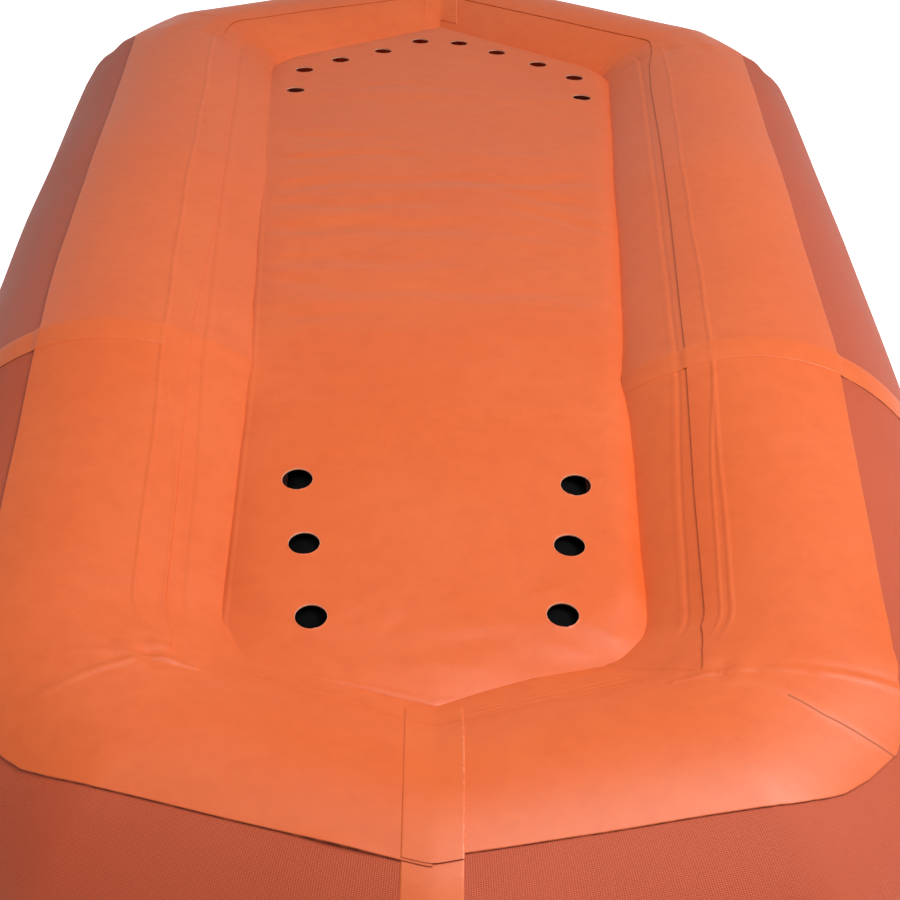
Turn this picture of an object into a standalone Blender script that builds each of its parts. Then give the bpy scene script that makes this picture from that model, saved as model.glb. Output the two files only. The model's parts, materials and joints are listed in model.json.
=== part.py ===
"""Inflatable kayak, self bailing, lying bottom up as it is cleaned and dried.

Metres, +Z up. +Y points to the bow and +X to the right of someone looking at the
bow from the stern. Each chamber is a thin walled fabric tube with a hole for its
valve. Plan places count from the tape band around the side tubes.
"""
import math

import bmesh
import bpy
from mathutils import Matrix, Vector

# Hull tubes: half of the beam, tube radii and the height of each tube's underside
half_beam = 0.460
stern_apex_radius = 0.162
stern_gore_radius = 0.1745
stern_side_radius = 0.178
band_radius = 0.172
bow_middle_radius = 0.1586
bow_side_radius = 0.1454
bow_gore_radius = 0.1435
bow_level_radius = 0.1392
bow_apex_radius = 0.1327
stern_apex_rise = 0.015
band_rise = 0.066
bow_middle_rise = 0.0505
bow_side_rise = 0.0212
bow_gore_rise = 0.0165
rest_height = 0.0

# Plan of the tube centre lines
stern_apex_y = -0.516
stern_corner_y = -0.433
bow_middle_y = 0.4545
bow_corner_y = 0.9436
bow_apex_y = 1.2104
bow_level_run = 0.150
gore_margin_share = 1.03
mitre_reach_share = 0.35

# Fabric
tube_sides = 28
tube_wall = 0.0012
joint_gap = 0.0003
skin_thickness = 0.0008
end_skin_lift = 0.0009
skin_inner_angle = math.radians(-23.3)
skin_outer_angle = math.radians(24.2)
seam_gap = 0.0005
tape_thickness = 0.0008
baffle_thickness = 0.0010
baffle_setback = 0.020

# Tapes over the joints
band_width = 0.030
apex_tape_width = 0.040
band_gap = 0.0004
tape_gap = 0.0012
band_start_angle = math.radians(-22.8)
band_end_angle = math.radians(200.0)
apex_tape_start_angle = math.radians(-22.8)
apex_tape_end_angle = math.radians(150.0)

# Bottom skin, its raised floor panel and the drain holes
panel_setback = 0.292
panel_bow_setback = 0.246
panel_taper_start_y = 0.0
panel_taper_end_y = 0.90
panel_stern_corner_y = -0.365
panel_stern_apex_y = -0.401
panel_bow_corner_y = 0.905
panel_bow_apex_y = 1.088
panel_corner_radius = 0.040
panel_roll = 0.030
panel_drop = 0.033
valley_drop = 0.050
crown_height = 0.004
crest_window = 0.120
crest_window_shares = (-1.0, -0.5, 0.0, 0.5, 1.0)
skin_clearance = 0.0022
skin_middle_rows = 18
skin_end_rows = 6
skin_end_share = 0.055
skin_half_columns = 11
drain_hole_radius = 0.013
bow_hole_radius = 0.011
drain_hole_sides = 14
stern_hole_x_shares = (0.592, 0.646, 0.699)
stern_hole_y = (-0.320, -0.2385, -0.1615)
bow_hole_x_shares = (0.117, 0.339, 0.579, 0.780, 0.806)
bow_hole_y = (0.984, 0.9415, 0.8975, 0.8515, 0.7675)

# Inner floor mattress
mattress_margin = 0.032
mattress_clearance = 0.0030
mattress_depth = 0.056
mattress_side_lean = 0.028
mattress_wall = 0.0012
mattress_rows = 18
mattress_half_columns = 4
mattress_bow_setback = 0.050

# Seat and backrest
seat_front_y = -0.030
seat_side_gap = 0.008
seat_thickness = 0.050
cushion_wall = 0.0012
cushion_edge = 0.010
cushion_columns = 8
backrest_side_gap = 0.010
backrest_height = 0.150
backrest_thickness = 0.030
backrest_rear_gap = 0.0019

# Inflation valves, along their own axis from the fabric outward
valve_flange_radius = 0.0170
valve_flange_thickness = 0.0030
valve_barrel_radius = 0.0120
valve_bore_radius = 0.0090
valve_barrel_depth = 0.0280
valve_seat_radius = 0.0075
valve_seat_thickness = 0.0020
valve_web_depth = 0.0130
valve_web_thickness = 0.0020
valve_web_bore = 0.0023
valve_air_hole_radius = 0.0022
valve_air_hole_count = 3
valve_sides = 16
plunger_stem_radius = 0.0020
plunger_disc_radius = 0.0084
plunger_disc_thickness = 0.0016
plunger_button_radius = 0.0042
plunger_button_thickness = 0.0018
plunger_button_depth = 0.0016
plunger_sides = 12
spring_wire_radius = 0.00035
spring_coil_radius = 0.0031
spring_turns = 4
spring_points_per_turn = 9
cap_radius = 0.0160
cap_thickness = 0.0030
cap_skirt_radius = 0.0084
cap_skirt_depth = 0.0012
cap_grip_length = 0.0240
cap_grip_width = 0.0040
cap_grip_height = 0.0040
valve_facet_step = -8
stern_valve_share = 0.45
bow_valve_share = 0.30
floor_valve_y = 0.300

# Mouth valves of the seat and the backrest
mouth_valve_radius = 0.0045
mouth_valve_bore = 0.0025
mouth_valve_length = 0.0160
mouth_valve_flange_radius = 0.0085
mouth_valve_flange_thickness = 0.0012
mouth_valve_sides = 12

# Tie down rings
ring_wire_radius = 0.0022
ring_half_width = 0.0120
ring_reach = 0.0190
ring_points = 12
loop_half_length = 0.0065
loop_bore = 0.0030
loop_thickness = 0.0012
loop_sides = 8
patch_half_length = 0.036
patch_facets = 3
patch_gap = 0.0008
stern_ring_y = -0.150
bow_ring_y = 0.600
ring_facet_step = 12

# One overrun serves every cut, and edges that turn by more than this angle stay sharp
overrun = 0.004
sharp_angle = math.radians(34.0)

materials = {
    "coated_orange": ((0.830, 0.180, 0.065), 0.42, 0.0),
    "woven_rust": ((0.440, 0.115, 0.060), 0.62, 0.0),
    "seam_tape": ((0.780, 0.180, 0.070), 0.45, 0.0),
    "mattress_fabric": ((0.035, 0.045, 0.060), 0.60, 0.0),
    "seat_fabric": ((0.045, 0.050, 0.055), 0.65, 0.0),
    "valve_plastic": ((0.030, 0.030, 0.032), 0.45, 0.0),
    "steel": ((0.620, 0.630, 0.640), 0.25, 1.0),
}


def clear_scene():
    for thing in list(bpy.data.objects):
        bpy.data.objects.remove(thing, do_unlink=True)


def make_material(name):
    colour, roughness, metallic = materials[name]
    material = bpy.data.materials.new(name)
    material.use_nodes = True
    shader = material.node_tree.nodes["Principled BSDF"]
    shader.inputs["Base Color"].default_value = (*colour, 1.0)
    shader.inputs["Roughness"].default_value = roughness
    shader.inputs["Metallic"].default_value = metallic
    material.diffuse_color = (*colour, 1.0)
    return material


def add_object(name, mesh, material, parent):
    mesh.shade_smooth()
    mesh.set_sharp_from_angle(angle=sharp_angle)
    thing = bpy.data.objects.new(name, mesh)
    bpy.context.collection.objects.link(thing)
    thing.data.materials.append(make_material(material))
    thing.parent = parent
    return thing


def mesh_from(name, points, faces):
    mesh = bpy.data.meshes.new(name)
    mesh.from_pydata([tuple(point) for point in points], [], faces)
    work = bmesh.new()
    work.from_mesh(mesh)
    bmesh.ops.recalc_face_normals(work, faces=work.faces)
    work.to_mesh(mesh)
    work.free()
    return mesh


def halves(quad, turned):
    """Both triangles of a quad, cut along the same diagonal on either face of a wall."""
    first, second, third, fourth = quad
    pair = ((first, second, third), (first, third, fourth))
    return [tuple(reversed(triangle)) for triangle in pair] if turned else list(pair)


def closed_loft(name, outer_rings, inner_rings):
    """A tube with a wall: rings of points outside and inside, open at both ends."""
    sides = len(outer_rings[0])
    points = []
    for outer, inner in zip(outer_rings, inner_rings):
        points += outer + inner
    faces = []
    for row in range(len(outer_rings) - 1):
        here = row * 2 * sides
        there = here + 2 * sides
        for side in range(sides):
            after = (side + 1) % sides
            for shift, turned in ((0, False), (sides, True)):
                quad = [index + shift for index in (here + side, here + after, there + after, there + side)]
                faces += halves(quad, turned)
    last = (len(outer_rings) - 1) * 2 * sides
    for side in range(sides):
        after = (side + 1) % sides
        faces.append((side, sides + side, sides + after, after))
        faces.append((last + side, last + after, last + sides + after, last + sides + side))
    return mesh_from(name, points, faces)


def solid_loft(name, rings):
    """A solid between rings of points, with a flat face at both ends."""
    sides = len(rings[0])
    points = [point for ring in rings for point in ring]
    faces = [tuple(range(sides)), tuple((len(rings) - 1) * sides + side for side in range(sides))]
    for row in range(len(rings) - 1):
        here = row * sides
        there = here + sides
        for side in range(sides):
            after = (side + 1) % sides
            faces.append((here + side, here + after, there + after, there + side))
    return mesh_from(name, points, faces)


def sheet(name, top_rows, bottom_rows):
    """A thin sheet between a grid of top points and a grid of bottom points."""
    rows = len(top_rows)
    columns = len(top_rows[0])
    points = [point for row in top_rows for point in row]
    points += [point for row in bottom_rows for point in row]
    below = rows * columns
    faces = []
    for row in range(rows - 1):
        for column in range(columns - 1):
            corner = row * columns + column
            quad = (corner, corner + 1, corner + columns + 1, corner + columns)
            faces += halves(quad, False)
            faces += halves([index + below for index in quad], True)
    rim = [column for column in range(columns - 1)]
    rim += [row * columns + columns - 1 for row in range(rows - 1)]
    rim += [(rows - 1) * columns + column for column in range(columns - 1, 0, -1)]
    rim += [row * columns for row in range(rows - 1, 0, -1)]
    for place, index in enumerate(rim):
        after = rim[(place + 1) % len(rim)]
        faces.append((after, index, index + below, after + below))
    return mesh_from(name, points, faces)


def lathe(name, profile, sides, frame):
    """Turn a closed outline of (radius, height) points about the frame's Z axis."""
    on_axis = [radius == 0 for radius, height in profile]
    points = []
    index = []
    for (radius, height), centre in zip(profile, on_axis):
        if centre:
            index.append([len(points)] * sides)
            points.append(frame @ Vector((0, 0, height)))
            continue
        index.append([len(points) + side for side in range(sides)])
        for side in range(sides):
            turn = 2 * math.pi * side / sides
            points.append(frame @ Vector((radius * math.cos(turn), radius * math.sin(turn), height)))
    faces = []
    for place in range(len(profile)):
        after = (place + 1) % len(profile)
        if on_axis[place] and on_axis[after]:
            continue
        for side in range(sides):
            turn = (side + 1) % sides
            quad = [index[place][side], index[place][turn], index[after][turn], index[after][side]]
            faces.append(tuple(dict.fromkeys(quad)))
    return mesh_from(name, points, faces)


def box_mesh(name, half_sizes, frame):
    signs = [(x, y, z) for x in (-1, 1) for y in (-1, 1) for z in (-1, 1)]
    points = [frame @ Vector([sign * size for sign, size in zip(corner, half_sizes)]) for corner in signs]
    faces = [(0, 1, 3, 2), (4, 6, 7, 5), (0, 4, 5, 1), (2, 3, 7, 6), (0, 2, 6, 4), (1, 5, 7, 3)]
    return mesh_from(name, points, faces)


def boolean(thing, cutter_mesh, operation, parent):
    cutter = bpy.data.objects.new(thing.name + "_" + operation.lower(), cutter_mesh)
    bpy.context.collection.objects.link(cutter)
    cutter.parent = parent
    cutter.hide_render = True
    cutter.display_type = "WIRE"
    modifier = thing.modifiers.new(operation.lower(), "BOOLEAN")
    modifier.operation = operation
    modifier.solver = "EXACT"
    modifier.object = cutter


def joined_meshes(name, meshes):
    work = bmesh.new()
    for mesh in meshes:
        work.from_mesh(mesh)
    joined = bpy.data.meshes.new(name)
    work.to_mesh(joined)
    work.free()
    return joined


class Station:
    """One ring of a hull tube: its centre line, radius and the vertical plane it lies in."""

    def __init__(self, x, y, rise, radius, outward=(1.0, 0.0), stretch=1.0):
        self.x = x
        self.y = y
        self.rise = rise
        self.radius = radius
        self.outward = outward
        self.stretch = stretch

    def height(self):
        return self.rise + self.radius * math.cos(math.pi / tube_sides)

    def crest(self):
        return self.rise + 2 * self.radius * math.cos(math.pi / tube_sides)

    def point(self, angle, lift, side):
        step = 2 * math.pi / tube_sides
        from_middle = (angle + step / 2) % step - step / 2
        reach = self.radius * math.cos(math.pi / tube_sides) / math.cos(from_middle) + lift
        across = reach * self.stretch * math.sin(angle)
        return Vector((side * (self.x + across * self.outward[0]), self.y + across * self.outward[1],
                       self.height() + reach * math.cos(angle)))


def blend_stations(first, second, share, keep_plane=False):
    mixed = [a + (b - a) * share for a, b in (
        (first.x, second.x), (first.y, second.y), (first.rise, second.rise), (first.radius, second.radius))]
    if keep_plane:
        return Station(*mixed, first.outward, first.stretch)
    along = Vector((second.x - first.x, second.y - first.y)).normalized()
    return Station(*mixed, (along.y, -along.x), 1.0)


def moved_station(first, second, distance):
    """The first station moved towards the second, its plane kept."""
    run = math.hypot(second.x - first.x, second.y - first.y)
    return blend_stations(first, second, distance / run, keep_plane=True)


def mitre(before, here, after):
    """The outward direction and the stretch of the plane where two runs meet."""
    arriving = Vector((here[0] - before[0], here[1] - before[1])).normalized()
    leaving = Vector((after[0] - here[0], after[1] - here[1])).normalized()
    average = (arriving + leaving).normalized()
    return (average.y, -average.x), 1 / average.dot(arriving)


def gore_ends(apex, corner, band, radius):
    """Both ends of the short corner piece that turns a tube from one run to the next."""
    to_apex = (Vector(apex) - Vector(corner)).normalized()
    to_band = (Vector(band) - Vector(corner)).normalized()
    inside_angle = to_apex.angle(to_band)
    piece_turn = (math.pi - inside_angle) / 2
    piece_length = 2 * radius * math.tan(piece_turn / 2) * gore_margin_share
    setback = piece_length / 2 / math.sin(inside_angle / 2)
    return Vector(corner) + to_apex * setback, Vector(corner) + to_band * setback


def hull_stations():
    """The right hand tube's stations from the stern apex to the bow apex."""
    band = (half_beam - band_radius, 0.0)
    stern_corner = (half_beam - stern_side_radius, stern_corner_y)
    bow_corner = (half_beam - bow_gore_radius, bow_corner_y)
    stern_apex = (0.0, stern_apex_y)
    bow_apex = (0.0, bow_apex_y)
    stern_gore, stern_side = gore_ends(stern_apex, stern_corner, band, stern_side_radius)
    bow_gore, bow_side = gore_ends(bow_apex, bow_corner, band, bow_side_radius)
    bow_middle_share = bow_middle_y / bow_side.y
    bow_middle = (band[0] + (bow_side.x - band[0]) * bow_middle_share, bow_middle_y)
    bow_run = Vector(bow_gore) - Vector(bow_apex)
    bow_level = Vector(bow_apex) + bow_run.normalized() * bow_level_run
    names = ("stern_apex", "stern_gore", "stern_side", "band", "bow_middle", "bow_side", "bow_gore",
             "bow_level", "bow_apex")
    plan = (stern_apex, stern_gore, stern_side, band, bow_middle, bow_side, bow_gore, bow_level, bow_apex)
    rises = (stern_apex_rise, rest_height, rest_height, band_rise, bow_middle_rise, bow_side_rise,
             bow_gore_rise, rest_height, rest_height)
    radii = (stern_apex_radius, stern_gore_radius, stern_side_radius, band_radius, bow_middle_radius,
             bow_side_radius, bow_gore_radius, bow_level_radius, bow_apex_radius)
    stations = {}
    for place, name in enumerate(names):
        here = plan[place]
        before = plan[place - 1] if place > 0 else (-plan[1][0], plan[1][1])
        after = plan[place + 1] if place + 1 < len(plan) else (-plan[-2][0], plan[-2][1])
        outward, stretch = mitre(before, here, after)
        stations[name] = Station(here[0], here[1], rises[place], radii[place], outward, stretch)
    return stations


def ring_angles():
    return [(side + 0.5) * 2 * math.pi / tube_sides for side in range(tube_sides)]


def trimmed_run(stations, names):
    """The named stations, with the first and last drawn in by half of a joint gap."""
    run = [stations[name] for name in names]
    first = moved_station(run[0], run[1], joint_gap / 2)
    last = moved_station(run[-1], run[-2], joint_gap / 2)
    return [first] + run[1:-1] + [last]


tube_runs = {
    "stern_tube": ("stern_apex", "stern_gore"),
    "stern_corner_tube": ("stern_gore", "stern_side"),
    "rear_side_tube": ("stern_side", "band"),
    "front_side_tube": ("band", "bow_middle", "bow_side"),
    "bow_corner_tube": ("bow_side", "bow_gore"),
    "bow_tube": ("bow_gore", "bow_level", "bow_apex"),
}
sides = {"left": -1, "right": 1}


def tubes(stations, parent):
    made = {}
    for run_name, names in tube_runs.items():
        run = trimmed_run(stations, names)
        for side_name, side in sides.items():
            outer = [[station.point(angle, 0, side) for angle in ring_angles()] for station in run]
            inner = [[station.point(angle, -tube_wall, side) for angle in ring_angles()] for station in run]
            name = run_name + "_" + side_name
            made[name] = add_object(name, closed_loft(name, outer, inner), "woven_rust", parent)
    return made


def strip_angles(start, end):
    """The start and end angles and every tube edge between them."""
    step = 2 * math.pi / tube_sides
    first = math.ceil(start / step - 0.5)
    edges = [(place + 0.5) * step for place in range(first, first + tube_sides)]
    return [start] + [edge for edge in edges if start < edge < end] + [end]


def hull_strip(name, run, angles, lift, thickness, side):
    top = [[station.point(angle, lift + thickness, side) for angle in angles] for station in run]
    bottom = [[station.point(angle, lift, side) for angle in angles] for station in run]
    return sheet(name, top, bottom)


def wear_skins(stations, parent):
    angles = strip_angles(skin_inner_angle, skin_outer_angle)
    for run_name, names in tube_runs.items():
        run = trimmed_run(stations, names)
        lift = joint_gap if "side" in run_name else end_skin_lift
        for side_name, side in sides.items():
            name = run_name.replace("tube", "wear_skin") + "_" + side_name
            mesh = hull_strip(name, run, angles, lift, skin_thickness, side)
            add_object(name, mesh, "coated_orange", parent)


def apex_tape_lift():
    return end_skin_lift + skin_thickness + tape_gap


def side_bands(stations, parent):
    """The tape around each side tube where its two lengths meet."""
    middle = stations["band"]
    half = band_width / 2
    run = [moved_station(middle, stations["stern_side"], half), middle,
           moved_station(middle, stations["bow_middle"], half)]
    angles = strip_angles(band_start_angle, band_end_angle)
    for side_name, side in sides.items():
        name = "side_band_" + side_name
        mesh = hull_strip(name, run, angles, joint_gap + skin_thickness + band_gap, tape_thickness, side)
        add_object(name, mesh, "seam_tape", parent)


def apex_tapes(stations, parent):
    """The tape over the joint of the two end tubes, at the stern and at the bow."""
    angles = strip_angles(apex_tape_start_angle, apex_tape_end_angle)
    for end, neighbour in (("stern", "stern_gore"), ("bow", "bow_level")):
        apex = stations[end + "_apex"]
        run_length = math.hypot(stations[neighbour].x - apex.x, stations[neighbour].y - apex.y)
        cosine = abs(stations[neighbour].x - apex.x) / run_length
        edge = moved_station(apex, stations[neighbour], apex_tape_width / 2 / cosine)
        name = end + "_apex_tape"
        lift = apex_tape_lift()
        top = []
        bottom = []
        for station, side in ((edge, -1), (apex, 1), (edge, 1)):
            top.append([station.point(angle, lift + tape_thickness, side) for angle in angles])
            bottom.append([station.point(angle, lift, side) for angle in angles])
        add_object(name, sheet(name, top, bottom), "seam_tape", parent)


def baffles(stations, parent):
    """The diaphragm in each side tube that parts the stern chamber from the bow chamber."""
    for side_name, side in sides.items():
        name = "baffle_" + side_name
        rings = []
        for setback in (baffle_setback, baffle_setback + baffle_thickness):
            station = moved_station(stations["band"], stations["bow_middle"], setback)
            rings.append([station.point(angle, -tube_wall - joint_gap, side) for angle in ring_angles()])
        add_object(name, solid_loft(name, rings), "woven_rust", parent)


def side_station_at(stations, y):
    """The side tube's centre, height and radius at a place along the hull."""
    names = ("stern_side", "band", "bow_middle", "bow_side")
    run = [stations[name] for name in names]
    for first, second in zip(run, run[1:]):
        if y <= second.y or second is run[-1]:
            return blend_stations(first, second, (y - first.y) / (second.y - first.y))


def tube_surface_height(stations, x, y):
    """The highest tube surface over a plan point, or None over the open floor."""
    heights = []
    run = list(stations.values())
    for first, second in zip(run, run[1:]):
        direction = Vector((second.x - first.x, second.y - first.y))
        offset = Vector((abs(x) - first.x, y - first.y))
        share = offset.dot(direction) / direction.length_squared
        reach = mitre_reach_share * first.radius / direction.length
        if not -reach < share < 1 + reach:
            continue
        away = abs(offset.x * direction.y - offset.y * direction.x) / direction.length
        station = blend_stations(first, second, min(max(share, 0.0), 1.0))
        if away < station.radius:
            heights.append(station.height() + math.sqrt(station.radius ** 2 - away ** 2))
    return max(heights) if heights else None


def crest_height_at(stations, y):
    """The tubes' crest line, rounded where the side tubes bend at their band."""
    places = [y + crest_window * share for share in crest_window_shares]
    return sum(side_station_at(stations, place).crest() for place in places) / len(places)


def panel_half_width():
    return half_beam - panel_setback


def panel_bow_half_width():
    return half_beam - panel_bow_setback


def panel_half_width_at(y):
    share = (y - panel_taper_start_y) / (panel_taper_end_y - panel_taper_start_y)
    return panel_half_width() + (panel_bow_half_width() - panel_half_width()) * max(share, 0.0)


def hole_places():
    """Plan place and radius of each drain hole on the right of the floor panel."""
    for share, y in zip(stern_hole_x_shares, stern_hole_y):
        yield share * panel_half_width(), y, drain_hole_radius
    for share, y in zip(bow_hole_x_shares, bow_hole_y):
        yield share * panel_bow_half_width(), y, bow_hole_radius


def panel_inset(x, y):
    """How far a plan point lies inside the floor panel's outline, with rounded corners."""
    x = abs(x)
    to_side = panel_half_width_at(y) - x
    insets = [to_side]
    ends = ((panel_stern_corner_y, panel_stern_apex_y, 1, panel_half_width()),
            (panel_bow_corner_y, panel_bow_apex_y, -1, panel_bow_half_width()))
    for corner_y, apex_y, direction, half_width in ends:
        slope = (corner_y - apex_y) / half_width
        insets.append((y - apex_y - slope * x) * direction / math.hypot(1, slope))
    shortest = sorted(insets)[:2]
    if max(shortest) < panel_corner_radius:
        gaps = [panel_corner_radius - inset for inset in shortest]
        return panel_corner_radius - math.hypot(*gaps)
    return shortest[0]


def smooth_share(value):
    value = min(max(value, 0.0), 1.0)
    return value * value * (3 - 2 * value)


def panel_height(stations, x, y):
    inset = panel_inset(x, y)
    crest = crest_height_at(stations, y)
    raised = smooth_share(inset / panel_roll)
    crown = crown_height * max(0.0, 1 - (x / panel_half_width_at(y)) ** 2)
    return crest - valley_drop + (valley_drop - panel_drop) * raised + crown * raised


def bottom_skin_height(stations, x, y):
    """Top of the bottom skin: it lies on the tubes' flanks and over the mattress."""
    over_panel = panel_height(stations, x, y)
    tube = tube_surface_height(stations, x, y)
    if tube is None:
        return over_panel
    return max(over_panel, tube + skin_clearance + skin_thickness)


def seam_point(station, side_gap):
    """Plan place of the bottom skin's edge on a tube's inner flank."""
    angle = skin_inner_angle - side_gap / station.radius
    across = station.radius * station.stretch * math.sin(angle)
    return station.x + across * station.outward[0], station.y + across * station.outward[1]


def skin_edge(stations, end):
    """The corner and the apex of the bottom skin's edge at one end."""
    gap = seam_gap + skin_clearance
    gore_x, gore_y = seam_point(stations[end + "_gore"], gap)
    side_x, side_y = seam_point(stations[end + "_side"], gap)
    return ((gore_x + side_x) / 2, (gore_y + side_y) / 2), seam_point(stations[end + "_apex"], gap)


def row_shares():
    """Places of the skin's rows along it, close together over the end tubes' flanks."""
    shares = [skin_end_share * row / skin_end_rows for row in range(skin_end_rows)]
    middle = 1 - 2 * skin_end_share
    shares += [skin_end_share + middle * row / skin_middle_rows for row in range(skin_middle_rows)]
    return shares + [1 - share for share in reversed(shares[:skin_end_rows])] + [1 - skin_end_share]


def bottom_skin_rows(stations):
    """Rows of plan points across the skin, bent to follow the V of both ends."""
    stern_corner, stern_apex = skin_edge(stations, "stern")
    bow_corner, bow_apex = skin_edge(stations, "bow")
    rows = []
    for share in sorted(row_shares()):
        edge_y = stern_corner[1] + (bow_corner[1] - stern_corner[1]) * share
        middle_y = stern_apex[1] + (bow_apex[1] - stern_apex[1]) * share
        if share == 0:
            edge_x = stern_corner[0]
        elif share == 1:
            edge_x = bow_corner[0]
        else:
            edge_x = seam_point(side_station_at(stations, edge_y), seam_gap + skin_clearance)[0]
        points = []
        for column in range(-skin_half_columns, skin_half_columns + 1):
            across = abs(column) / skin_half_columns
            points.append((math.copysign(across * edge_x, column), middle_y + (edge_y - middle_y) * across))
        rows.append(points)
    return rows


def bottom_skin(stations, parent):
    top = []
    bottom = []
    for row in bottom_skin_rows(stations):
        heights = [bottom_skin_height(stations, x, y) for x, y in row]
        top.append([Vector((x, y, z)) for (x, y), z in zip(row, heights)])
        bottom.append([Vector((x, y, z - skin_thickness)) for (x, y), z in zip(row, heights)])
    mesh = sheet("bottom_skin", top, bottom)
    thing = add_object("bottom_skin", mesh, "coated_orange", parent)
    drills = []
    for x, y, radius in hole_places():
        for side in sides.values():
            frame = Matrix.Translation((side * x, y, bottom_skin_height(stations, x, y)))
            outline = ((0, -overrun), (radius, -overrun), (radius, overrun), (0, overrun))
            drills.append(lathe("drill", outline, drain_hole_sides, frame))
    boolean(thing, joined_meshes("drain_holes", drills), "DIFFERENCE", parent)
    return thing


def mattress_outline(stations, share, inset):
    """Half width and end places of one layer of the mattress."""
    stern = panel_stern_corner_y + mattress_margin + inset
    bow = panel_bow_corner_y - mattress_bow_setback - inset
    y = stern + (bow - stern) * share
    return y, panel_half_width_at(y) - mattress_margin - inset


def mattress_rings(stations, wall):
    """Cross sections of the mattress: crowned under the skin, leaning sides, flat underside."""
    rings = []
    for row in range(mattress_rows + 1):
        share = row / mattress_rows
        y, upper = mattress_outline(stations, share, wall)
        lower = upper - mattress_side_lean
        crest = crest_height_at(stations, y)
        ring = []
        for column in range(-mattress_half_columns, mattress_half_columns + 1):
            x = upper * column / mattress_half_columns
            top = bottom_skin_height(stations, x, y) - skin_thickness - mattress_clearance - wall
            ring.append(Vector((x, y, top)))
        floor = crest - panel_drop - mattress_depth + wall
        for column in range(mattress_half_columns, -mattress_half_columns - 1, -1):
            ring.append(Vector((lower * column / mattress_half_columns, y, floor)))
        rings.append(ring)
    return rings


def mattress_floor_height(stations, y):
    return crest_height_at(stations, y) - panel_drop - mattress_depth


def inner_floor(stations, parent):
    """The inflated mattress that the paddler's seat rests on, hollow inside."""
    thing = add_object("inner_floor", solid_loft("inner_floor", mattress_rings(stations, 0)),
                       "mattress_fabric", parent)
    boolean(thing, solid_loft("inner_floor_air", mattress_rings(stations, mattress_wall)),
            "DIFFERENCE", parent)
    return thing


def cushion_ring(half_width, half_length, corner, count):
    """A rounded rectangle of points about the origin."""
    points = []
    for turn in range(4 * count):
        angle = 2 * math.pi * (turn + 0.5) / (4 * count)
        cosine = math.cos(angle)
        sine = math.sin(angle)
        x = math.copysign(max(half_width - corner, 0), cosine) + corner * cosine
        y = math.copysign(max(half_length - corner, 0), sine) + corner * sine
        points.append((x, y))
    return points


def cushion_rings(half_width, half_length, thickness, corner, inset):
    """Layers of a cushion with drawn in edges, from its underside up."""
    layer_shares = ((0.0, 1.0), (0.25, 0.25), (0.5, 0.0), (0.75, 0.25), (1.0, 1.0))
    rings = []
    for height_share, draw_share in layer_shares:
        drawn = cushion_edge * draw_share + inset
        height = inset + (thickness - 2 * inset) * height_share
        outline = cushion_ring(half_width - drawn, half_length - drawn, corner, cushion_columns // 2)
        rings.append([Vector((x, y, height)) for x, y in outline])
    return rings


def cushion(name, half_width, half_length, thickness, frame, parent, material):
    corner = cushion_edge * 2
    outer = [[frame @ point for point in ring]
             for ring in cushion_rings(half_width, half_length, thickness, corner, 0)]
    inner = [[frame @ point for point in ring]
             for ring in cushion_rings(half_width, half_length, thickness, corner, cushion_wall)]
    thing = add_object(name, solid_loft(name, outer), material, parent)
    boolean(thing, solid_loft(name + "_air", inner), "DIFFERENCE", parent)
    return thing


def cockpit_half_width():
    return half_beam - 2 * stern_side_radius


def backrest_half_width():
    return cockpit_half_width() - backrest_side_gap


def seat_back_y(stations):
    """The seat starts where the backrest, standing against the stern tubes' flanks, ends."""
    apex = stations["stern_apex"]
    gore = stations["stern_gore"]
    run = Vector((gore.x - apex.x, gore.y - apex.y))
    flank = blend_stations(apex, gore, (backrest_half_width() - 2 * cushion_edge) / run.x)
    reach = flank.radius * math.cos(math.pi / tube_sides) * run.length / run.x
    return flank.y + reach + backrest_thickness + backrest_rear_gap


def seat_frame(stations):
    """The seat hangs below the mattress here, because the kayak lies bottom up."""
    back_y = seat_back_y(stations)
    middle_y = (seat_front_y + back_y) / 2
    front = mattress_floor_height(stations, seat_front_y)
    back = mattress_floor_height(stations, back_y)
    slope = math.atan2(front - back, seat_front_y - back_y)
    height = (front + back) / 2 - joint_gap
    turn = Matrix.Rotation(slope, 4, "X") @ Matrix.Rotation(math.pi, 4, "Y")
    return Matrix.Translation((0, middle_y, height)) @ turn


def seat_half_length(stations):
    return (seat_front_y - seat_back_y(stations)) / 2


def backrest_axis(stations):
    """A point on the backrest's hinge line, along the seat's rear upper edge."""
    frame = seat_frame(stations)
    return frame @ Vector((0, -seat_half_length(stations) - joint_gap, seat_thickness + joint_gap))


def seat(stations, parent):
    frame = seat_frame(stations)
    half_width = cockpit_half_width() - seat_side_gap
    half_length = seat_half_length(stations)
    thing = cushion("seat_cushion", half_width, half_length, seat_thickness, frame, parent, "seat_fabric")
    valve = frame @ Matrix.Translation((half_width / 2, half_length / 2, seat_thickness))
    mouth_valve("seat_valve", thing, valve, parent)


def backrest(stations, parent):
    hinge = bpy.data.objects.new("backrest_hinge_line", None)
    bpy.context.collection.objects.link(hinge)
    hinge.location = backrest_axis(stations)
    hinge.parent = parent
    turn = Matrix.Rotation(-math.pi / 2, 4, "X")
    frame = Matrix.Translation((0, -backrest_thickness, -backrest_height / 2)) @ turn
    half_width = backrest_half_width()
    thing = cushion("backrest", half_width, backrest_height / 2, backrest_thickness, frame, hinge,
                    "seat_fabric")
    valve = frame @ Matrix.Translation((half_width / 2, backrest_height / 4, backrest_thickness))
    mouth_valve("backrest_valve", thing, valve, hinge)


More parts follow.
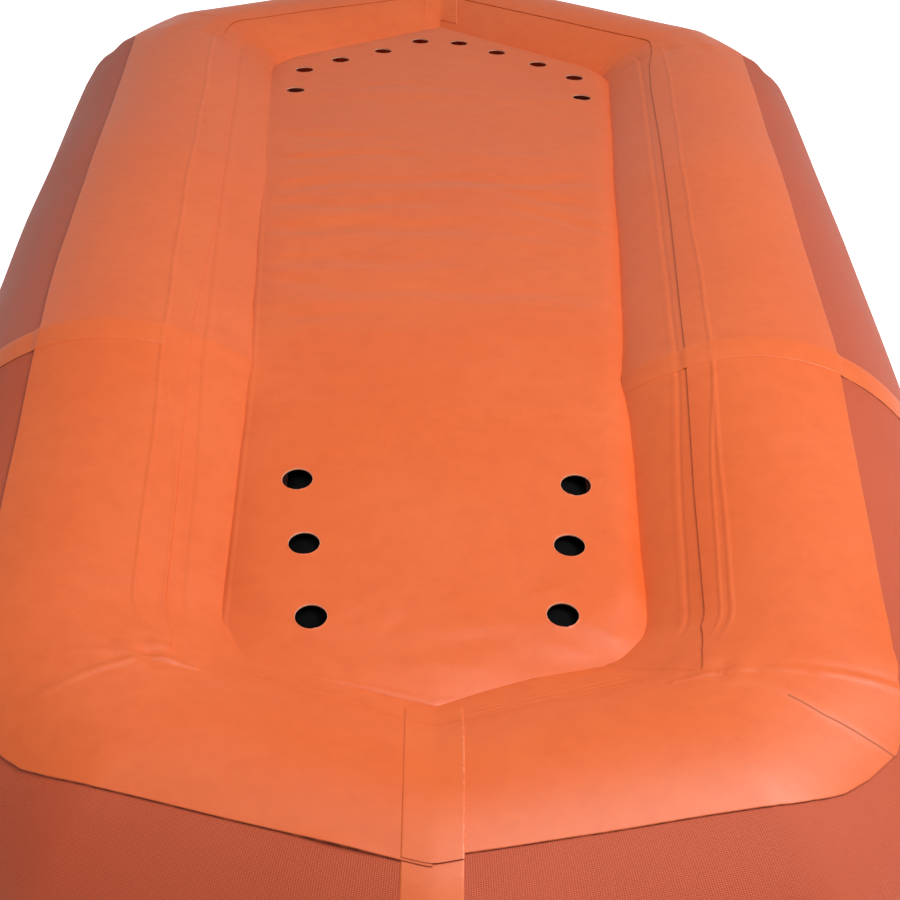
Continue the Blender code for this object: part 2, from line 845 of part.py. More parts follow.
def mouth_valve(name, carrier, frame, parent):
    """A small tube with a flange, pushed through a hole in the cushion's wall."""
    hole = mouth_valve_radius + joint_gap
    outline = ((0, -overrun), (hole, -overrun), (hole, overrun), (0, overrun))
    boolean(carrier, lathe(name + "_hole", outline, mouth_valve_sides, frame), "DIFFERENCE", parent)
    top = mouth_valve_length / 2
    flange = joint_gap + mouth_valve_flange_thickness
    profile = ((mouth_valve_bore, -top), (mouth_valve_radius, -top), (mouth_valve_radius, joint_gap),
               (mouth_valve_flange_radius, joint_gap), (mouth_valve_flange_radius, flange),
               (mouth_valve_radius, flange), (mouth_valve_radius, top), (mouth_valve_bore, top))
    add_object(name, lathe(name, profile, mouth_valve_sides, frame), "valve_plastic", parent)


def facet_frame(stations, first_name, second_name, share, facet, side):
    """A frame on the middle of one flat facet of a tube, its Z axis pointing out."""
    first = stations[first_name]
    second = stations[second_name]
    step = 2 * math.pi / tube_sides
    low = (facet - 0.5) * step
    high = (facet + 0.5) * step
    corners = [station.point(angle, 0, side) for station in (first, second) for angle in (low, high)]
    start = (corners[0] + corners[1]) / 2
    end = (corners[2] + corners[3]) / 2
    along = (end - start).normalized()
    across = (corners[1] - corners[0]).normalized()
    normal = across.cross(along).normalized()
    centre = start + (end - start) * share
    middle = Vector((side * (first.x + second.x) / 2, (first.y + second.y) / 2,
                     (first.height() + second.height()) / 2))
    if normal.dot(start + (end - start) / 2 - middle) < 0:
        normal = -normal
    side_axis = along.cross(normal).normalized()
    turn = Matrix((side_axis, along, normal)).transposed().to_4x4()
    return Matrix.Translation(centre) @ turn


def valve_body(name, frame, parent):
    flange = joint_gap + valve_flange_thickness
    bottom = -valve_barrel_depth
    web_top = -valve_web_depth
    web_bottom = web_top - valve_web_thickness
    profile = ((valve_seat_radius, bottom), (valve_barrel_radius, bottom), (valve_barrel_radius, joint_gap),
               (valve_flange_radius, joint_gap), (valve_flange_radius, flange), (valve_bore_radius, flange),
               (valve_bore_radius, web_top), (valve_web_bore, web_top), (valve_web_bore, web_bottom),
               (valve_bore_radius, web_bottom), (valve_bore_radius, bottom + valve_seat_thickness),
               (valve_seat_radius, bottom + valve_seat_thickness))
    thing = add_object(name + "_body", lathe(name, profile, valve_sides, frame), "valve_plastic", parent)
    ring_radius = (valve_web_bore + valve_bore_radius) / 2
    drills = []
    for hole in range(valve_air_hole_count):
        turn = 2 * math.pi * hole / valve_air_hole_count
        place = Matrix.Translation((ring_radius * math.cos(turn), ring_radius * math.sin(turn), web_top))
        depth = valve_web_thickness + overrun
        outline = ((0, -depth), (valve_air_hole_radius, -depth), (valve_air_hole_radius, overrun),
                   (0, overrun))
        drills.append(lathe("drill", outline, mouth_valve_sides, frame @ place))
    boolean(thing, joined_meshes(name + "_air_holes", drills), "DIFFERENCE", parent)


def valve_plunger(name, frame, parent):
    button_top = -plunger_button_depth
    button_bottom = button_top - plunger_button_thickness
    disc_top = -valve_barrel_depth - joint_gap
    disc_bottom = disc_top - plunger_disc_thickness
    profile = ((0, disc_bottom), (plunger_disc_radius, disc_bottom), (plunger_disc_radius, disc_top),
               (plunger_stem_radius, disc_top), (plunger_stem_radius, button_bottom),
               (plunger_button_radius, button_bottom), (plunger_button_radius, button_top), (0, button_top))
    add_object(name + "_plunger", lathe(name, profile, plunger_sides, frame), "valve_plastic", parent)
    spring_top = button_bottom - joint_gap - spring_wire_radius
    spring_bottom = -valve_web_depth + joint_gap + spring_wire_radius
    valve_spring(name, frame, spring_bottom, spring_top, parent)


def valve_spring(name, frame, bottom, top, parent):
    """A wound wire between the valve's web and the plunger's button."""
    count = spring_turns * spring_points_per_turn
    curve = bpy.data.curves.new(name + "_spring", "CURVE")
    curve.dimensions = "3D"
    curve.bevel_depth = spring_wire_radius
    curve.bevel_resolution = 0
    curve.use_fill_caps = True
    spline = curve.splines.new("POLY")
    spline.points.add(count)
    for place in range(count + 1):
        turn = 2 * math.pi * place / spring_points_per_turn
        height = bottom + (top - bottom) * place / count
        across = Vector((math.cos(turn), math.sin(turn), 0)) * spring_coil_radius
        spline.points[place].co = (*(frame @ (across + Vector((0, 0, height)))), 1.0)
    thing = bpy.data.objects.new(name + "_spring", curve)
    bpy.context.collection.objects.link(thing)
    curve.materials.append(make_material("steel"))
    thing.parent = parent


def valve_cap(name, frame, parent):
    bottom = joint_gap + valve_flange_thickness + joint_gap
    top = bottom + cap_thickness
    skirt = bottom - cap_skirt_depth
    profile = ((0, skirt), (cap_skirt_radius, skirt), (cap_skirt_radius, bottom), (cap_radius, bottom),
               (cap_radius, top), (0, top))
    thing = add_object(name + "_cap", lathe(name, profile, valve_sides, frame), "valve_plastic", parent)
    grip_bottom = top - cap_thickness / 2
    grip_top = top + cap_grip_height
    grip = frame @ Matrix.Translation((0, 0, (grip_bottom + grip_top) / 2))
    half_sizes = (cap_grip_length / 2, cap_grip_width / 2, (grip_top - grip_bottom) / 2)
    boolean(thing, box_mesh(name + "_grip", half_sizes, grip), "UNION", parent)


def inflation_valve(name, carrier, frame, parent):
    hole = valve_barrel_radius + joint_gap
    outline = ((0, -overrun), (hole, -overrun), (hole, overrun), (0, overrun))
    boolean(carrier, lathe(name + "_hole", outline, valve_sides, frame), "DIFFERENCE", parent)
    valve_body(name, frame, parent)
    valve_plunger(name, frame, parent)
    valve_cap(name, frame, parent)


def valves(stations, made, floor, parent):
    stern = facet_frame(stations, "stern_side", "band", stern_valve_share, valve_facet_step, 1)
    inflation_valve("stern_valve", made["rear_side_tube_right"], stern, parent)
    bow = facet_frame(stations, "band", "bow_middle", bow_valve_share, valve_facet_step, 1)
    inflation_valve("bow_valve", made["front_side_tube_right"], bow, parent)
    rise = mattress_floor_height(stations, bow_middle_y) - mattress_floor_height(stations, 0.0)
    slope = math.atan2(rise, bow_middle_y)
    place = Matrix.Translation((0, floor_valve_y, mattress_floor_height(stations, floor_valve_y)))
    under = place @ Matrix.Rotation(slope, 4, "X") @ Matrix.Rotation(math.pi, 4, "Y")
    inflation_valve("floor_valve", floor, under, parent)


def ring_places(stations):
    spans = {"stern": ("stern_side", "band", stern_ring_y), "bow": ("bow_middle", "bow_side", bow_ring_y)}
    for end, (first, second, y) in spans.items():
        share = (y - stations[first].y) / (stations[second].y - stations[first].y)
        for side_name, side in sides.items():
            yield end + "_tie_down_", side_name, side, first, second, share


def tie_down_patch(name, stations, first_name, second_name, share, side, parent):
    """A patch on the tube with a sewn loop that holds the ring's bar."""
    first = stations[first_name]
    second = stations[second_name]
    reach = patch_half_length / math.hypot(second.x - first.x, second.y - first.y)
    step = 2 * math.pi / tube_sides
    start = (ring_facet_step - patch_facets / 2) * step
    angles = strip_angles(start, start + patch_facets * step)
    faces = []
    for lift in (patch_gap + skin_thickness, patch_gap):
        ends = [[station.point(angle, lift, side) for angle in angles] for station in (first, second)]
        faces.append([[low.lerp(high, place) for low, high in zip(*ends)]
                      for place in (share - reach, share, share + reach)])
    thing = add_object(name, sheet(name, *faces), "seam_tape", parent)
    frame = facet_frame(stations, first_name, second_name, share, ring_facet_step, side)
    boolean(thing, loop_mesh(name + "_loop", frame), "UNION", parent)
    return frame @ Matrix.Translation((0, 0, ring_axis_height()))


def ring_axis_height():
    return patch_gap + skin_thickness + loop_bore


def loop_mesh(name, frame):
    """An arch of webbing whose legs go down into the patch."""
    axis = ring_axis_height()
    foot = patch_gap + skin_thickness / 2
    outer = loop_bore + loop_thickness
    arch = [math.pi * place / loop_sides for place in range(loop_sides + 1)]
    outline = [(outer, foot)]
    outline += [(outer * math.cos(turn), axis + outer * math.sin(turn)) for turn in arch]
    outline += [(-outer, foot), (-loop_bore, foot)]
    outline += [(loop_bore * math.cos(turn), axis + loop_bore * math.sin(turn)) for turn in reversed(arch)]
    outline.append((loop_bore, foot))
    rings = [[frame @ Vector((x, y, z)) for x, z in outline] for y in (-loop_half_length, loop_half_length)]
    return solid_loft(name, rings)


def tie_down_ring(name, frame, parent):
    """A bent wire ring that hangs from its loop, its straight bar on the hinge line."""
    bar = (frame @ Vector((0, 1, 0)) - frame.translation).normalized()
    down = Vector((0, 0, -1))
    down = (down - bar * down.dot(bar)).normalized()
    curve = bpy.data.curves.new(name, "CURVE")
    curve.dimensions = "3D"
    curve.bevel_depth = ring_wire_radius
    curve.bevel_resolution = 1
    spline = curve.splines.new("POLY")
    outline = [(-ring_half_width, 0.0), (0.0, 0.0), (ring_half_width, 0.0)]
    for place in range(1, ring_points):
        turn = math.pi * place / ring_points
        outline.append((ring_half_width * math.cos(turn), ring_reach * math.sin(turn)))
    spline.points.add(len(outline) - 1)
    for place, (along, below) in enumerate(outline):
        spline.points[place].co = (*(frame.translation + bar * along + down * below), 1.0)
    spline.use_cyclic_u = True
    thing = bpy.data.objects.new(name, curve)
    bpy.context.collection.objects.link(thing)
    curve.materials.append(make_material("steel"))
    thing.parent = parent


def tie_downs(stations, parent):
    for prefix, side_name, side, first, second, share in ring_places(stations):
        frame = tie_down_patch(prefix + "patch_" + side_name, stations, first, second, share, side, parent)
        tie_down_ring(prefix + "ring_" + side_name, frame, parent)


def hull_middle(stations):
    """The middle of the hull's length, over the tapes at both apexes."""
    reach = apex_tape_lift() + tape_thickness
    angles = strip_angles(apex_tape_start_angle, apex_tape_end_angle)
    stern = min(stations["stern_apex"].point(angle, reach, 1).y for angle in angles)
    bow = max(stations["bow_apex"].point(angle, reach, 1).y for angle in angles)
    return (stern + bow) / 2


def build():
    clear_scene()
    stations = hull_stations()
    kayak = bpy.data.objects.new("kayak", None)
    bpy.context.collection.objects.link(kayak)
    kayak.location = (0, -hull_middle(stations), 0)
    made = tubes(stations, kayak)
    wear_skins(stations, kayak)
    side_bands(stations, kayak)
    apex_tapes(stations, kayak)
    baffles(stations, kayak)
    bottom_skin(stations, kayak)
    floor = inner_floor(stations, kayak)
    seat(stations, kayak)
    backrest(stations, kayak)
    valves(stations, made, floor, kayak)
    tie_downs(stations, kayak)
    bpy.context.view_layer.update()


build()
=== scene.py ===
"""Looks of the self-bailing inflatable kayak, lying bottom up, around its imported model.

Metres. The hull's sizes repeat the model's own, in the hull's frame: y counts from the
tape bands around the side tubes, and hull_shift carries that place into the world. A run is
a length along a tube from the stern's middle, and an angle goes round it from its crest,
negative towards the floor. Side is 1 on the right and -1 on the left.
"""
import json
import math

import bmesh
import bpy
import numpy as np
from mathutils import Matrix, Vector


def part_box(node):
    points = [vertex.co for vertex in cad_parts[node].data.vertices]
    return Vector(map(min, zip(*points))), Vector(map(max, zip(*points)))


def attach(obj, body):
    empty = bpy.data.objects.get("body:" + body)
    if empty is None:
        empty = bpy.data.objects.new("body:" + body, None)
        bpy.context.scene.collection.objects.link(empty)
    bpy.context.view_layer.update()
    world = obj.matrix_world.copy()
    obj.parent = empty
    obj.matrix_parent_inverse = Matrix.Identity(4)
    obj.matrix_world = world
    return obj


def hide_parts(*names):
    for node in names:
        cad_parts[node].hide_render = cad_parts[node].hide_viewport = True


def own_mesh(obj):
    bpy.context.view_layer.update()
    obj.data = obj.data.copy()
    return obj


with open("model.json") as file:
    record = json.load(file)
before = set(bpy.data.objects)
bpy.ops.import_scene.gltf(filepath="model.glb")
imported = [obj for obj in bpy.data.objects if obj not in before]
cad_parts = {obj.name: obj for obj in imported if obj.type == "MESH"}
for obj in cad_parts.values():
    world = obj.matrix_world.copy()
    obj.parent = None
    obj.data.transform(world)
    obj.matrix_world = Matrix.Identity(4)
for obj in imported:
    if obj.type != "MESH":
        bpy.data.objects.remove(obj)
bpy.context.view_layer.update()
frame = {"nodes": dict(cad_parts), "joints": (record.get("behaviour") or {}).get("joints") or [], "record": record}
scene = bpy.context.scene
full_turn = 2 * math.pi
sides = (("left", -1), ("right", 1))
ends = ("stern", "bow")

# Hull frame in the world
hull_shift = -0.350017
shift = np.array((0, hull_shift, 0))

# Camera of the photograph, in the hull's frame
camera_place = (-0.025, -1.7413, 1.4056)
camera_forward = (0.01832, 0.83994, -0.54238)
camera_right = (0.99938, 0.00094, 0.03522)
camera_up = (-0.03009, 0.54269, 0.8394)
camera_lens = 90.0
sensor_width = 36.0

# Hull tubes: x, y, rise and radius at the ends of their lengths, from stern apex to bow apex
tube_stations = (
    (0.0, -0.516, 0.015, 0.162), (0.2101479, -0.4541479, 0.0, 0.1745), (0.2830378, -0.3581076, 0.0, 0.178),
    (0.288, 0.0, 0.066, 0.172), (0.3017275, 0.4545, 0.0505, 0.1586), (0.3153498, 0.9055195, 0.0212, 0.1454),
    (0.287371, 0.9681549, 0.0165, 0.1435), (0.1146878, 1.1137216, 0.0, 0.1392), (0.0, 1.2104, 0.0, 0.1327))
flat_share = math.cos(math.pi / 28)
round_share = 0.9985
fabric_radius = 0.16

# Bends of the tubes, softened over a length that grows at the corners
bend_softness = 0.0075
corner_softness = 0.03
corner_reach = 0.1
corner_middle = 0.28
bow_softness = 0.022
bow_corner_middle = 1.638
bend_offsets = np.linspace(-1, 1, 9)
bend_weights = 1 - 0.9 * bend_offsets ** 2
bend_weights /= bend_weights.sum()

# Edges of the wear skin: degrees from the tubes' crest at places along the run
inner_edge_right = (
    (0.0, -22.8), (0.2, -22.8), (0.235, -19.0), (0.255, -13.5), (0.283, -17.8), (0.33, -23.6), (0.5, -24.1),
    (0.72, -23.5), (1.0, -22.9), (1.24, -22.8), (1.45, -23.4), (1.56, -22.4), (1.61, -19.5), (1.66, -13.2),
    (2.05, -12.0))
inner_edge_left = (
    (0.0, -22.8), (0.2, -22.8), (0.235, -19.0), (0.255, -14.5), (0.286, -19.5), (0.34, -23.8), (0.58, -23.4),
    (0.73, -22.8), (0.95, -25.6), (1.4, -25.6), (1.6, -17.0), (1.69, -8.6), (1.8, -8.6), (2.05, -12.0))
outer_edge_right = (
    (0.0, 25.0), (0.044, 25.7), (0.1, 26.5), (0.16, 27.1), (0.2, 27.5), (0.21, 28.0), (0.22, 29.3),
    (0.23, 30.9), (0.24, 33.0), (0.25, 35.0), (0.268, 36.9), (0.292, 37.6), (0.315, 33.0), (0.334, 26.4),
    (0.358, 23.6), (0.67, 23.2), (0.74, 23.8), (0.93, 23.8), (1.1, 24.5), (1.28, 24.6), (1.38, 25.5),
    (1.58, 26.0), (1.64, 30.0), (2.05, 30.0))
outer_edge_left = (
    (0.0, 27.3), (0.16, 27.3), (0.2, 27.5), (0.21, 27.8), (0.22, 28.8), (0.23, 30.5), (0.24, 32.4),
    (0.25, 34.5), (0.263, 35.8), (0.292, 37.4), (0.315, 33.0), (0.334, 25.8), (0.38, 23.3), (0.55, 23.5),
    (0.71, 23.8), (0.79, 25.2), (0.88, 26.0), (1.3, 26.5), (1.44, 27.0), (1.58, 27.5), (1.64, 30.5),
    (2.05, 30.0))
skin_width = 0.165 * math.radians(47.5)
flange_end = math.radians(-56.0)
flange_under = math.radians(2.8)

# How far the floor's flange stands off the tube beside the panel: run and height
taut_angles = (math.radians(24), math.radians(44))
flange_taut_right = ((0.0, 0.013), (0.12, 0.016), (0.22, 0.011), (0.36, 0.0032))
flange_taut_left = (
    (0.0, 0.013), (0.12, 0.014), (0.22, 0.0122), (0.36, 0.009), (0.55, 0.0075), (0.7, 0.0052), (0.9, 0.0062),
    (1.35, 0.008), (1.6, 0.0058))

# Heights above the tubes' fabric, and how much each layer adds
flange_lift = 0.0005
skin_lift = 0.0016
tape_height = 0.0007
rim_rounding = 0.0009
rim_sunk = 0.0004
loose_lift = 0.0014

# Lines of the near corners, as plan places on the right of the hull
corner_line = ((0.18, -0.409), (0.205, -0.405), (0.235, -0.403), (0.353, -0.401), (0.47, -0.4))
gore_line = ((0.226, -0.41), (0.255, -0.425), (0.288, -0.443), (0.321, -0.453), (0.345, -0.458), (0.47, -0.5))
gore_line_start = 0.262

# The underside that rests on the ground shows no relief
ground_start = math.radians(125)
ground_end = math.radians(150)
ground_rise = -0.0009

# Soft lines beside the floor's seam at both ends: place and height
seam_middle = math.radians(-23.3)
end_ripples = ((-0.0015, 0.0007), (-0.0065, 0.0005), (-0.011, 0.0006), (-0.017, 0.0004))

# Tapes
band_half = 0.015
band_setback = 0.012
band_radius = 0.172
apex_tape_half = 0.0222
tape_columns = np.array([-1, -0.98, -0.955, -0.9, -0.7, -0.4, -0.15, 0, 0.15, 0.4, 0.7, 0.9, 0.955, 0.98, 1])

# Marks of fabric whose edges don't show
no_marks = {"rim": 0.02, "strength": 0.0, "line": 1.0}

# Floor panel
panel_half_width = 0.168
panel_bow_half_width = 0.214
panel_taper_end = 0.9
panel_stern_corner = -0.365
panel_left_stern_corner = -0.377
panel_stern_apex = -0.412
panel_bow_corner = 0.905
panel_bow_apex = 1.088
panel_margin = 0.018
panel_corner = 0.04
panel_left_corner = 0.018
panel_roll = 0.034
panel_stern_roll = 0.05
panel_fullness = 2.6
panel_drop = 0.033
panel_stern_rise = 0.0025
panel_side_slope = 2.2
crown = 0.004
crest_window = 0.12

# The valley around the panel, and how much less deep it is at places
valley_drop = 0.0458
valley_left_rise = 0.0103
valley_left_bow_sink = 0.0071
valley_stern_rise = 0.01
valley_band_rise = 0.004
valley_left_stern_sink = 0.002
valley_left_far_sink = 0.0012
weld_height = 0.0009
weld_inset = 0.0045
weld_half = 0.0022

# Drain holes
stern_hole_radius = 0.013
bow_hole_radius = 0.011
stern_holes = (
    (-0.098, -0.324), (0.101, -0.315), (-0.108, -0.242), (0.109, -0.235), (-0.118, -0.163), (0.117, -0.16))
bow_holes = (
    (-0.026, 0.985), (-0.073, 0.937), (-0.125, 0.893), (-0.168, 0.851), (-0.174, 0.765), (0.024, 0.982),
    (0.072, 0.946), (0.123, 0.902), (0.166, 0.852), (0.171, 0.77))
hole_rim = ((0.00025, 0.00002), (0.0001, 0.00015), (-0.0001, 0.0), (-0.0002, -0.0012), (0.0002, -0.0012))
hole_depth = 0.02
valve_hole_radius = 0.0126

# Soft waves across the floor: y, first x, last x, depth, half width and slope
floor_ripples = (
    (0.79, -0.1, 0.02, 0.0006, 0.014, 0.0), (0.59, -0.19, -0.06, 0.0007, 0.016, 0.02),
    (0.515, -0.19, -0.02, 0.0009, 0.014, 0.1), (0.428, -0.19, 0.16, 0.0012, 0.02, 0.1),
    (0.368, -0.19, 0.0, 0.001, 0.016, 0.08), (0.308, -0.19, 0.02, 0.0014, 0.022, 0.05),
    (0.222, -0.19, 0.0, 0.0011, 0.02, 0.0), (0.172, -0.19, -0.1, 0.0008, 0.014, 0.0),
    (0.15, -0.12, 0.12, 0.0007, 0.016, 0.0), (0.095, -0.19, -0.05, 0.0006, 0.018, 0.0),
    (0.43, 0.06, 0.17, 0.0011, 0.016, -0.45), (0.372, 0.07, 0.18, 0.0011, 0.015, -0.4),
    (0.3, 0.08, 0.18, 0.0006, 0.016, -0.2))
ripple_depth = 1.6
ripple_left_depth = 0.5
ripple_width = 1.25

# Dents and swellings of the floor: x, y, both reaches, turn and height
floor_dents = (
    (0.03, -0.345, 0.03, 0.01, 0.2, -0.0012), (-0.03, -0.33, 0.014, 0.008, 0.9, -0.001),
    (0.105, -0.35, 0.024, 0.01, -0.2, 0.0014), (-0.062, -0.322, 0.012, 0.006, 0.6, -0.0009),
    (0.01, -0.372, 0.04, 0.008, 0.0, 0.0009), (0.14, -0.15, 0.02, 0.006, 0.2, 0.0008),
    (-0.13, -0.195, 0.026, 0.006, 0.1, 0.0007), (0.09, -0.29, 0.03, 0.007, 0.5, 0.0006))

# Studio: how bright the room is, and how much light its floor gives back
room_light = 0.33
floor_grey = 0.93
floor_glow = 0.25
floor_reach = 40.0
floor_sink = 0.0015

# Inside the hull
mattress_margin = 0.032
mattress_lean = 0.028
mattress_depth = 0.056
mattress_bow_setback = 0.05
mattress_end = 0.028
mattress_gap = 0.0036
floor_valve_y = 0.3
seat_front_y = -0.03
seat_rear_gap = 0.0003
seat_thickness = 0.05
cushion_voxel = 0.005
cushion_frames = 20
cushion_cap = 0.007
cushion_border = 0.009
cushion_skin = 0.0004
cushion_rim_corner = 0.03
cushion_rim_rings = ((0.016, -0.0007), (0.003, -0.0007), (0.0024, 0.0), (0.003, 0.0007), (0.016, 0.0007))
spring_coil_radius = 0.0031
spring_wire_radius = 0.00035
spring_turns = 4

# Tie downs: patch, webbing loop around the ring's bar, and wire ring
patch_height = 0.0008
patch_half_width = 0.053
patch_half_length = 0.036
loop_half_width = 0.0085
loop_foot = -0.0022
loop_inner = 0.003
loop_outer = 0.0043
ring_half_width = 0.012
ring_straight = 0.0014
ring_depth = 0.0176
ring_wire_radius = 0.0022


def bump(distance, half_width):
    """A smooth ridge across a line."""
    share = np.clip(np.abs(distance) / half_width, 0, 1)
    return (1 - share ** 2) ** 2


def hill(distance, reach):
    return np.exp(-(distance / reach) ** 2)


def fade(value, start, end):
    share = np.clip((value - start) / (end - start), 0, 1)
    return share * share * (3 - 2 * share)


def table(rows, place):
    """A value read between the rows of a table."""
    places, values = np.array(rows).T
    return np.interp(place, places, values)


def turns_of(count):
    return np.linspace(0, full_turn, count + 1)[:-1]


def stacked(*parts):
    return np.stack(parts, axis=-1)


def unit(vector):
    return vector / np.linalg.norm(vector)


def grid(rows, columns):
    return np.meshgrid(rows, columns, indexing="ij")


def waves(places, lengths, count, seed):
    """A smooth random field of about unit height over plan places, its waves about so long."""
    source = np.random.default_rng(seed)
    total = np.zeros(places.shape[:-1])
    for _ in range(count):
        turn = source.uniform(0, full_turn)
        length_x = lengths[0] * source.uniform(0.7, 1.5)
        length_y = lengths[1] * source.uniform(0.7, 1.5)
        phase = source.uniform(0, full_turn)
        total += np.sin(full_turn * (places[..., 0] * math.cos(turn) / length_x
                                     + places[..., 1] * math.sin(turn) / length_y) + phase)
    return total * math.sqrt(2 / count)


# The hull's surface


def mitre(before, here, after):
    """The outward direction and the stretch of the plane where two runs meet."""
    arriving = Vector((here[0] - before[0], here[1] - before[1])).normalized()
    leaving = Vector((after[0] - here[0], after[1] - here[1])).normalized()
    average = (arriving + leaving).normalized()
    return average.y, -average.x, 1 / average.dot(arriving)


def hull_stations():
    """The rows of stations, each with its outward x, outward y and stretch."""
    plan = [row[:2] for row in tube_stations]
    plan = [(-plan[1][0], plan[1][1]), *plan, (-plan[-2][0], plan[-2][1])]
    return np.array([(*row, *mitre(*plan[place:place + 3])) for place, row in enumerate(tube_stations)])


STATIONS = hull_stations()
RUNS = np.concatenate(([0.0], np.cumsum(np.hypot(*np.diff(STATIONS[:, :2], axis=0).T))))
FULL_RUN = RUNS[-1]
BAND_RUN = RUNS[3]
BOW_GORE_RUNS = (RUNS[5], RUNS[6])


def hull_once(run, angle, lift):
    """The right hand tube's surface, mirrored past either apex."""
    past_apex = (run < 0) | (run > FULL_RUN)
    run = np.where(run < 0, -run, np.where(run > FULL_RUN, 2 * FULL_RUN - run, run))
    low = np.clip(np.searchsorted(RUNS, run, side="right") - 1, 0, len(RUNS) - 2)
    share = (run - RUNS[low]) / (RUNS[low + 1] - RUNS[low])
    total = 0
    for index, weight in ((low, 1 - share), (low + 1, share)):
        x, y, rise, radius, out_x, out_y, stretch = np.moveaxis(STATIONS[index], -1, 0)
        reach = radius * round_share + lift
        across = reach * stretch * np.sin(angle)
        point = stacked(x + across * out_x, y + across * out_y,
                          rise + radius * flat_share + reach * np.cos(angle))
        total += point * weight[..., None]
    total[..., 0] *= np.where(past_apex, -1, 1)
    return total


def hull(run, angle, lift=0.0):
    """The tube's surface, its bends softened as stretched fabric is."""
    run, angle, lift = np.broadcast_arrays(run, angle, lift)
    softness = bend_softness + corner_softness * hill(run - corner_middle, corner_reach)
    softness = softness + bow_softness * hill(run - bow_corner_middle, corner_reach)
    return sum(hull_once(run + offset * softness, angle, lift) * weight
               for offset, weight in zip(bend_offsets, bend_weights))


def radius_at(run):
    return np.interp(run, RUNS, STATIONS[:, 3]) * round_share


# Meshes


def opened(points, holes):
    """The grid's points with those at a hole's rim drawn onto its circle, and which lie within one."""
    points = points.copy()
    within = np.zeros(points.shape[:2], dtype=bool)
    for centre, axis, radius in holes:
        offset = points - np.array(centre)
        along = offset @ np.array(axis)
        across = offset - along[..., None] * np.array(axis)
        away = np.linalg.norm(across, axis=-1)
        inside = (away < radius) & (np.abs(along) < hole_depth)
        beside = np.zeros_like(inside)
        for step in ((-1, -1), (-1, 0), (-1, 1), (0, -1), (0, 1), (1, -1), (1, 0), (1, 1)):
            beside |= ~np.roll(inside, step, axis=(0, 1))
        edge = inside & beside
        stretch = (radius / np.maximum(away, 1e-6) - 1)[..., None] * across
        points = np.where(edge[..., None], points + stretch, points)
        within |= inside
    return points, within


def in_scene(name, data):
    thing = bpy.data.objects.new(name, data)
    scene.collection.objects.link(thing)
    return thing


def placed(name, mesh, slot, nodes, body, material=None):
    """The mesh as a smooth piece on its body, in its slot's material and in place of these solids."""
    mesh.shade_smooth()
    mesh.materials.append(material or looks[slot])
    thing = in_scene(name, mesh)
    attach(thing, body)
    if nodes:
        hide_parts(*nodes)
    return thing


def piece(name, points, slot, nodes=(), body="hull", side=1, uv=None, closed=False, marks=None,
          flip=False, holes=(), caps=False, material=None):
    """A piece over a grid of points, with its holes, its fabric coordinates and its marks."""
    rows, columns = points.shape[:2]
    points, within = opened(points * np.array((side, 1, 1)), holes)
    index = np.arange(rows * columns).reshape(rows, columns)
    if closed:
        index = np.concatenate((index, index[:, :1]), axis=1)
    quads = stacked(index[:-1, :-1], index[:-1, 1:], index[1:, 1:], index[1:, :-1])
    quads = quads.reshape(-1, 4)
    faces = quads[~within.ravel()[quads].all(axis=1)].tolist()
    if caps:
        faces += [list(range(columns))[::-1], list(range((rows - 1) * columns, rows * columns))]
    if flip:
        faces = [face[::-1] for face in faces]
    mesh = bpy.data.meshes.new(name)
    mesh.from_pydata((points.reshape(-1, 3) + shift).tolist(), [], faces)
    if uv is not None:
        layer = mesh.uv_layers.new(name="fabric")
        corner = np.empty(len(mesh.loops), dtype=np.int32)
        mesh.loops.foreach_get("vertex_index", corner)
        layer.data.foreach_set("uv", uv.reshape(-1, 2)[corner].ravel())
    for mark, values in (marks or {}).items():
        attribute = mesh.attributes.new(mark, "FLOAT", "POINT")
        values = np.broadcast_to(values, (rows, columns)).ravel().astype(np.float32)
        attribute.data.foreach_set("value", values)
    return placed(name, mesh, slot, nodes, body, material)


def run_rows():
    """Places along the tube, close together at its bends."""
    rows = [*np.arange(0.0, FULL_RUN, 0.01), FULL_RUN, *np.arange(0.18, 0.36, 0.0022)]
    offsets = (-0.011, -0.0075, -0.005, -0.0025, 0, 0.0025, 0.005, 0.0075, 0.011)
    rows += [place + offset for place in RUNS for offset in offsets]
    rows = np.unique(np.round([row for row in rows if 0.0 <= row <= FULL_RUN], 5))
    return rows[np.concatenate(([True], np.diff(rows) > 0.0012))]


def inner_edge(run, side):
    return np.radians(table(inner_edge_right if side > 0 else inner_edge_left, run))


def outer_edge(run, side):
    return np.radians(table(outer_edge_right if side > 0 else outer_edge_left, run))


def away_from(line, x, y):
    """Signed distance in plan from a line of straight stretches."""
    nearest = np.full(x.shape, 9.0)
    signed = np.full(x.shape, 9.0)
    for (ax, ay), (bx, by) in zip(line, line[1:]):
        along_x, along_y = bx - ax, by - ay
        length = math.hypot(along_x, along_y)
        share = np.clip(((x - ax) * along_x + (y - ay) * along_y) / length ** 2, 0, 1)
        gap = np.hypot(x - ax - share * along_x, y - ay - share * along_y)
        turn = np.sign((y - ay) * along_x - (x - ax) * along_y)
        signed = np.where(gap < nearest, gap * turn, signed)
        nearest = np.minimum(nearest, gap)
    return signed


def corner_places(run, angle):
    """Plan places of the bare tube, for lines that are known in plan."""
    places = hull(run, angle)
    return np.abs(places[..., 0]), places[..., 1]


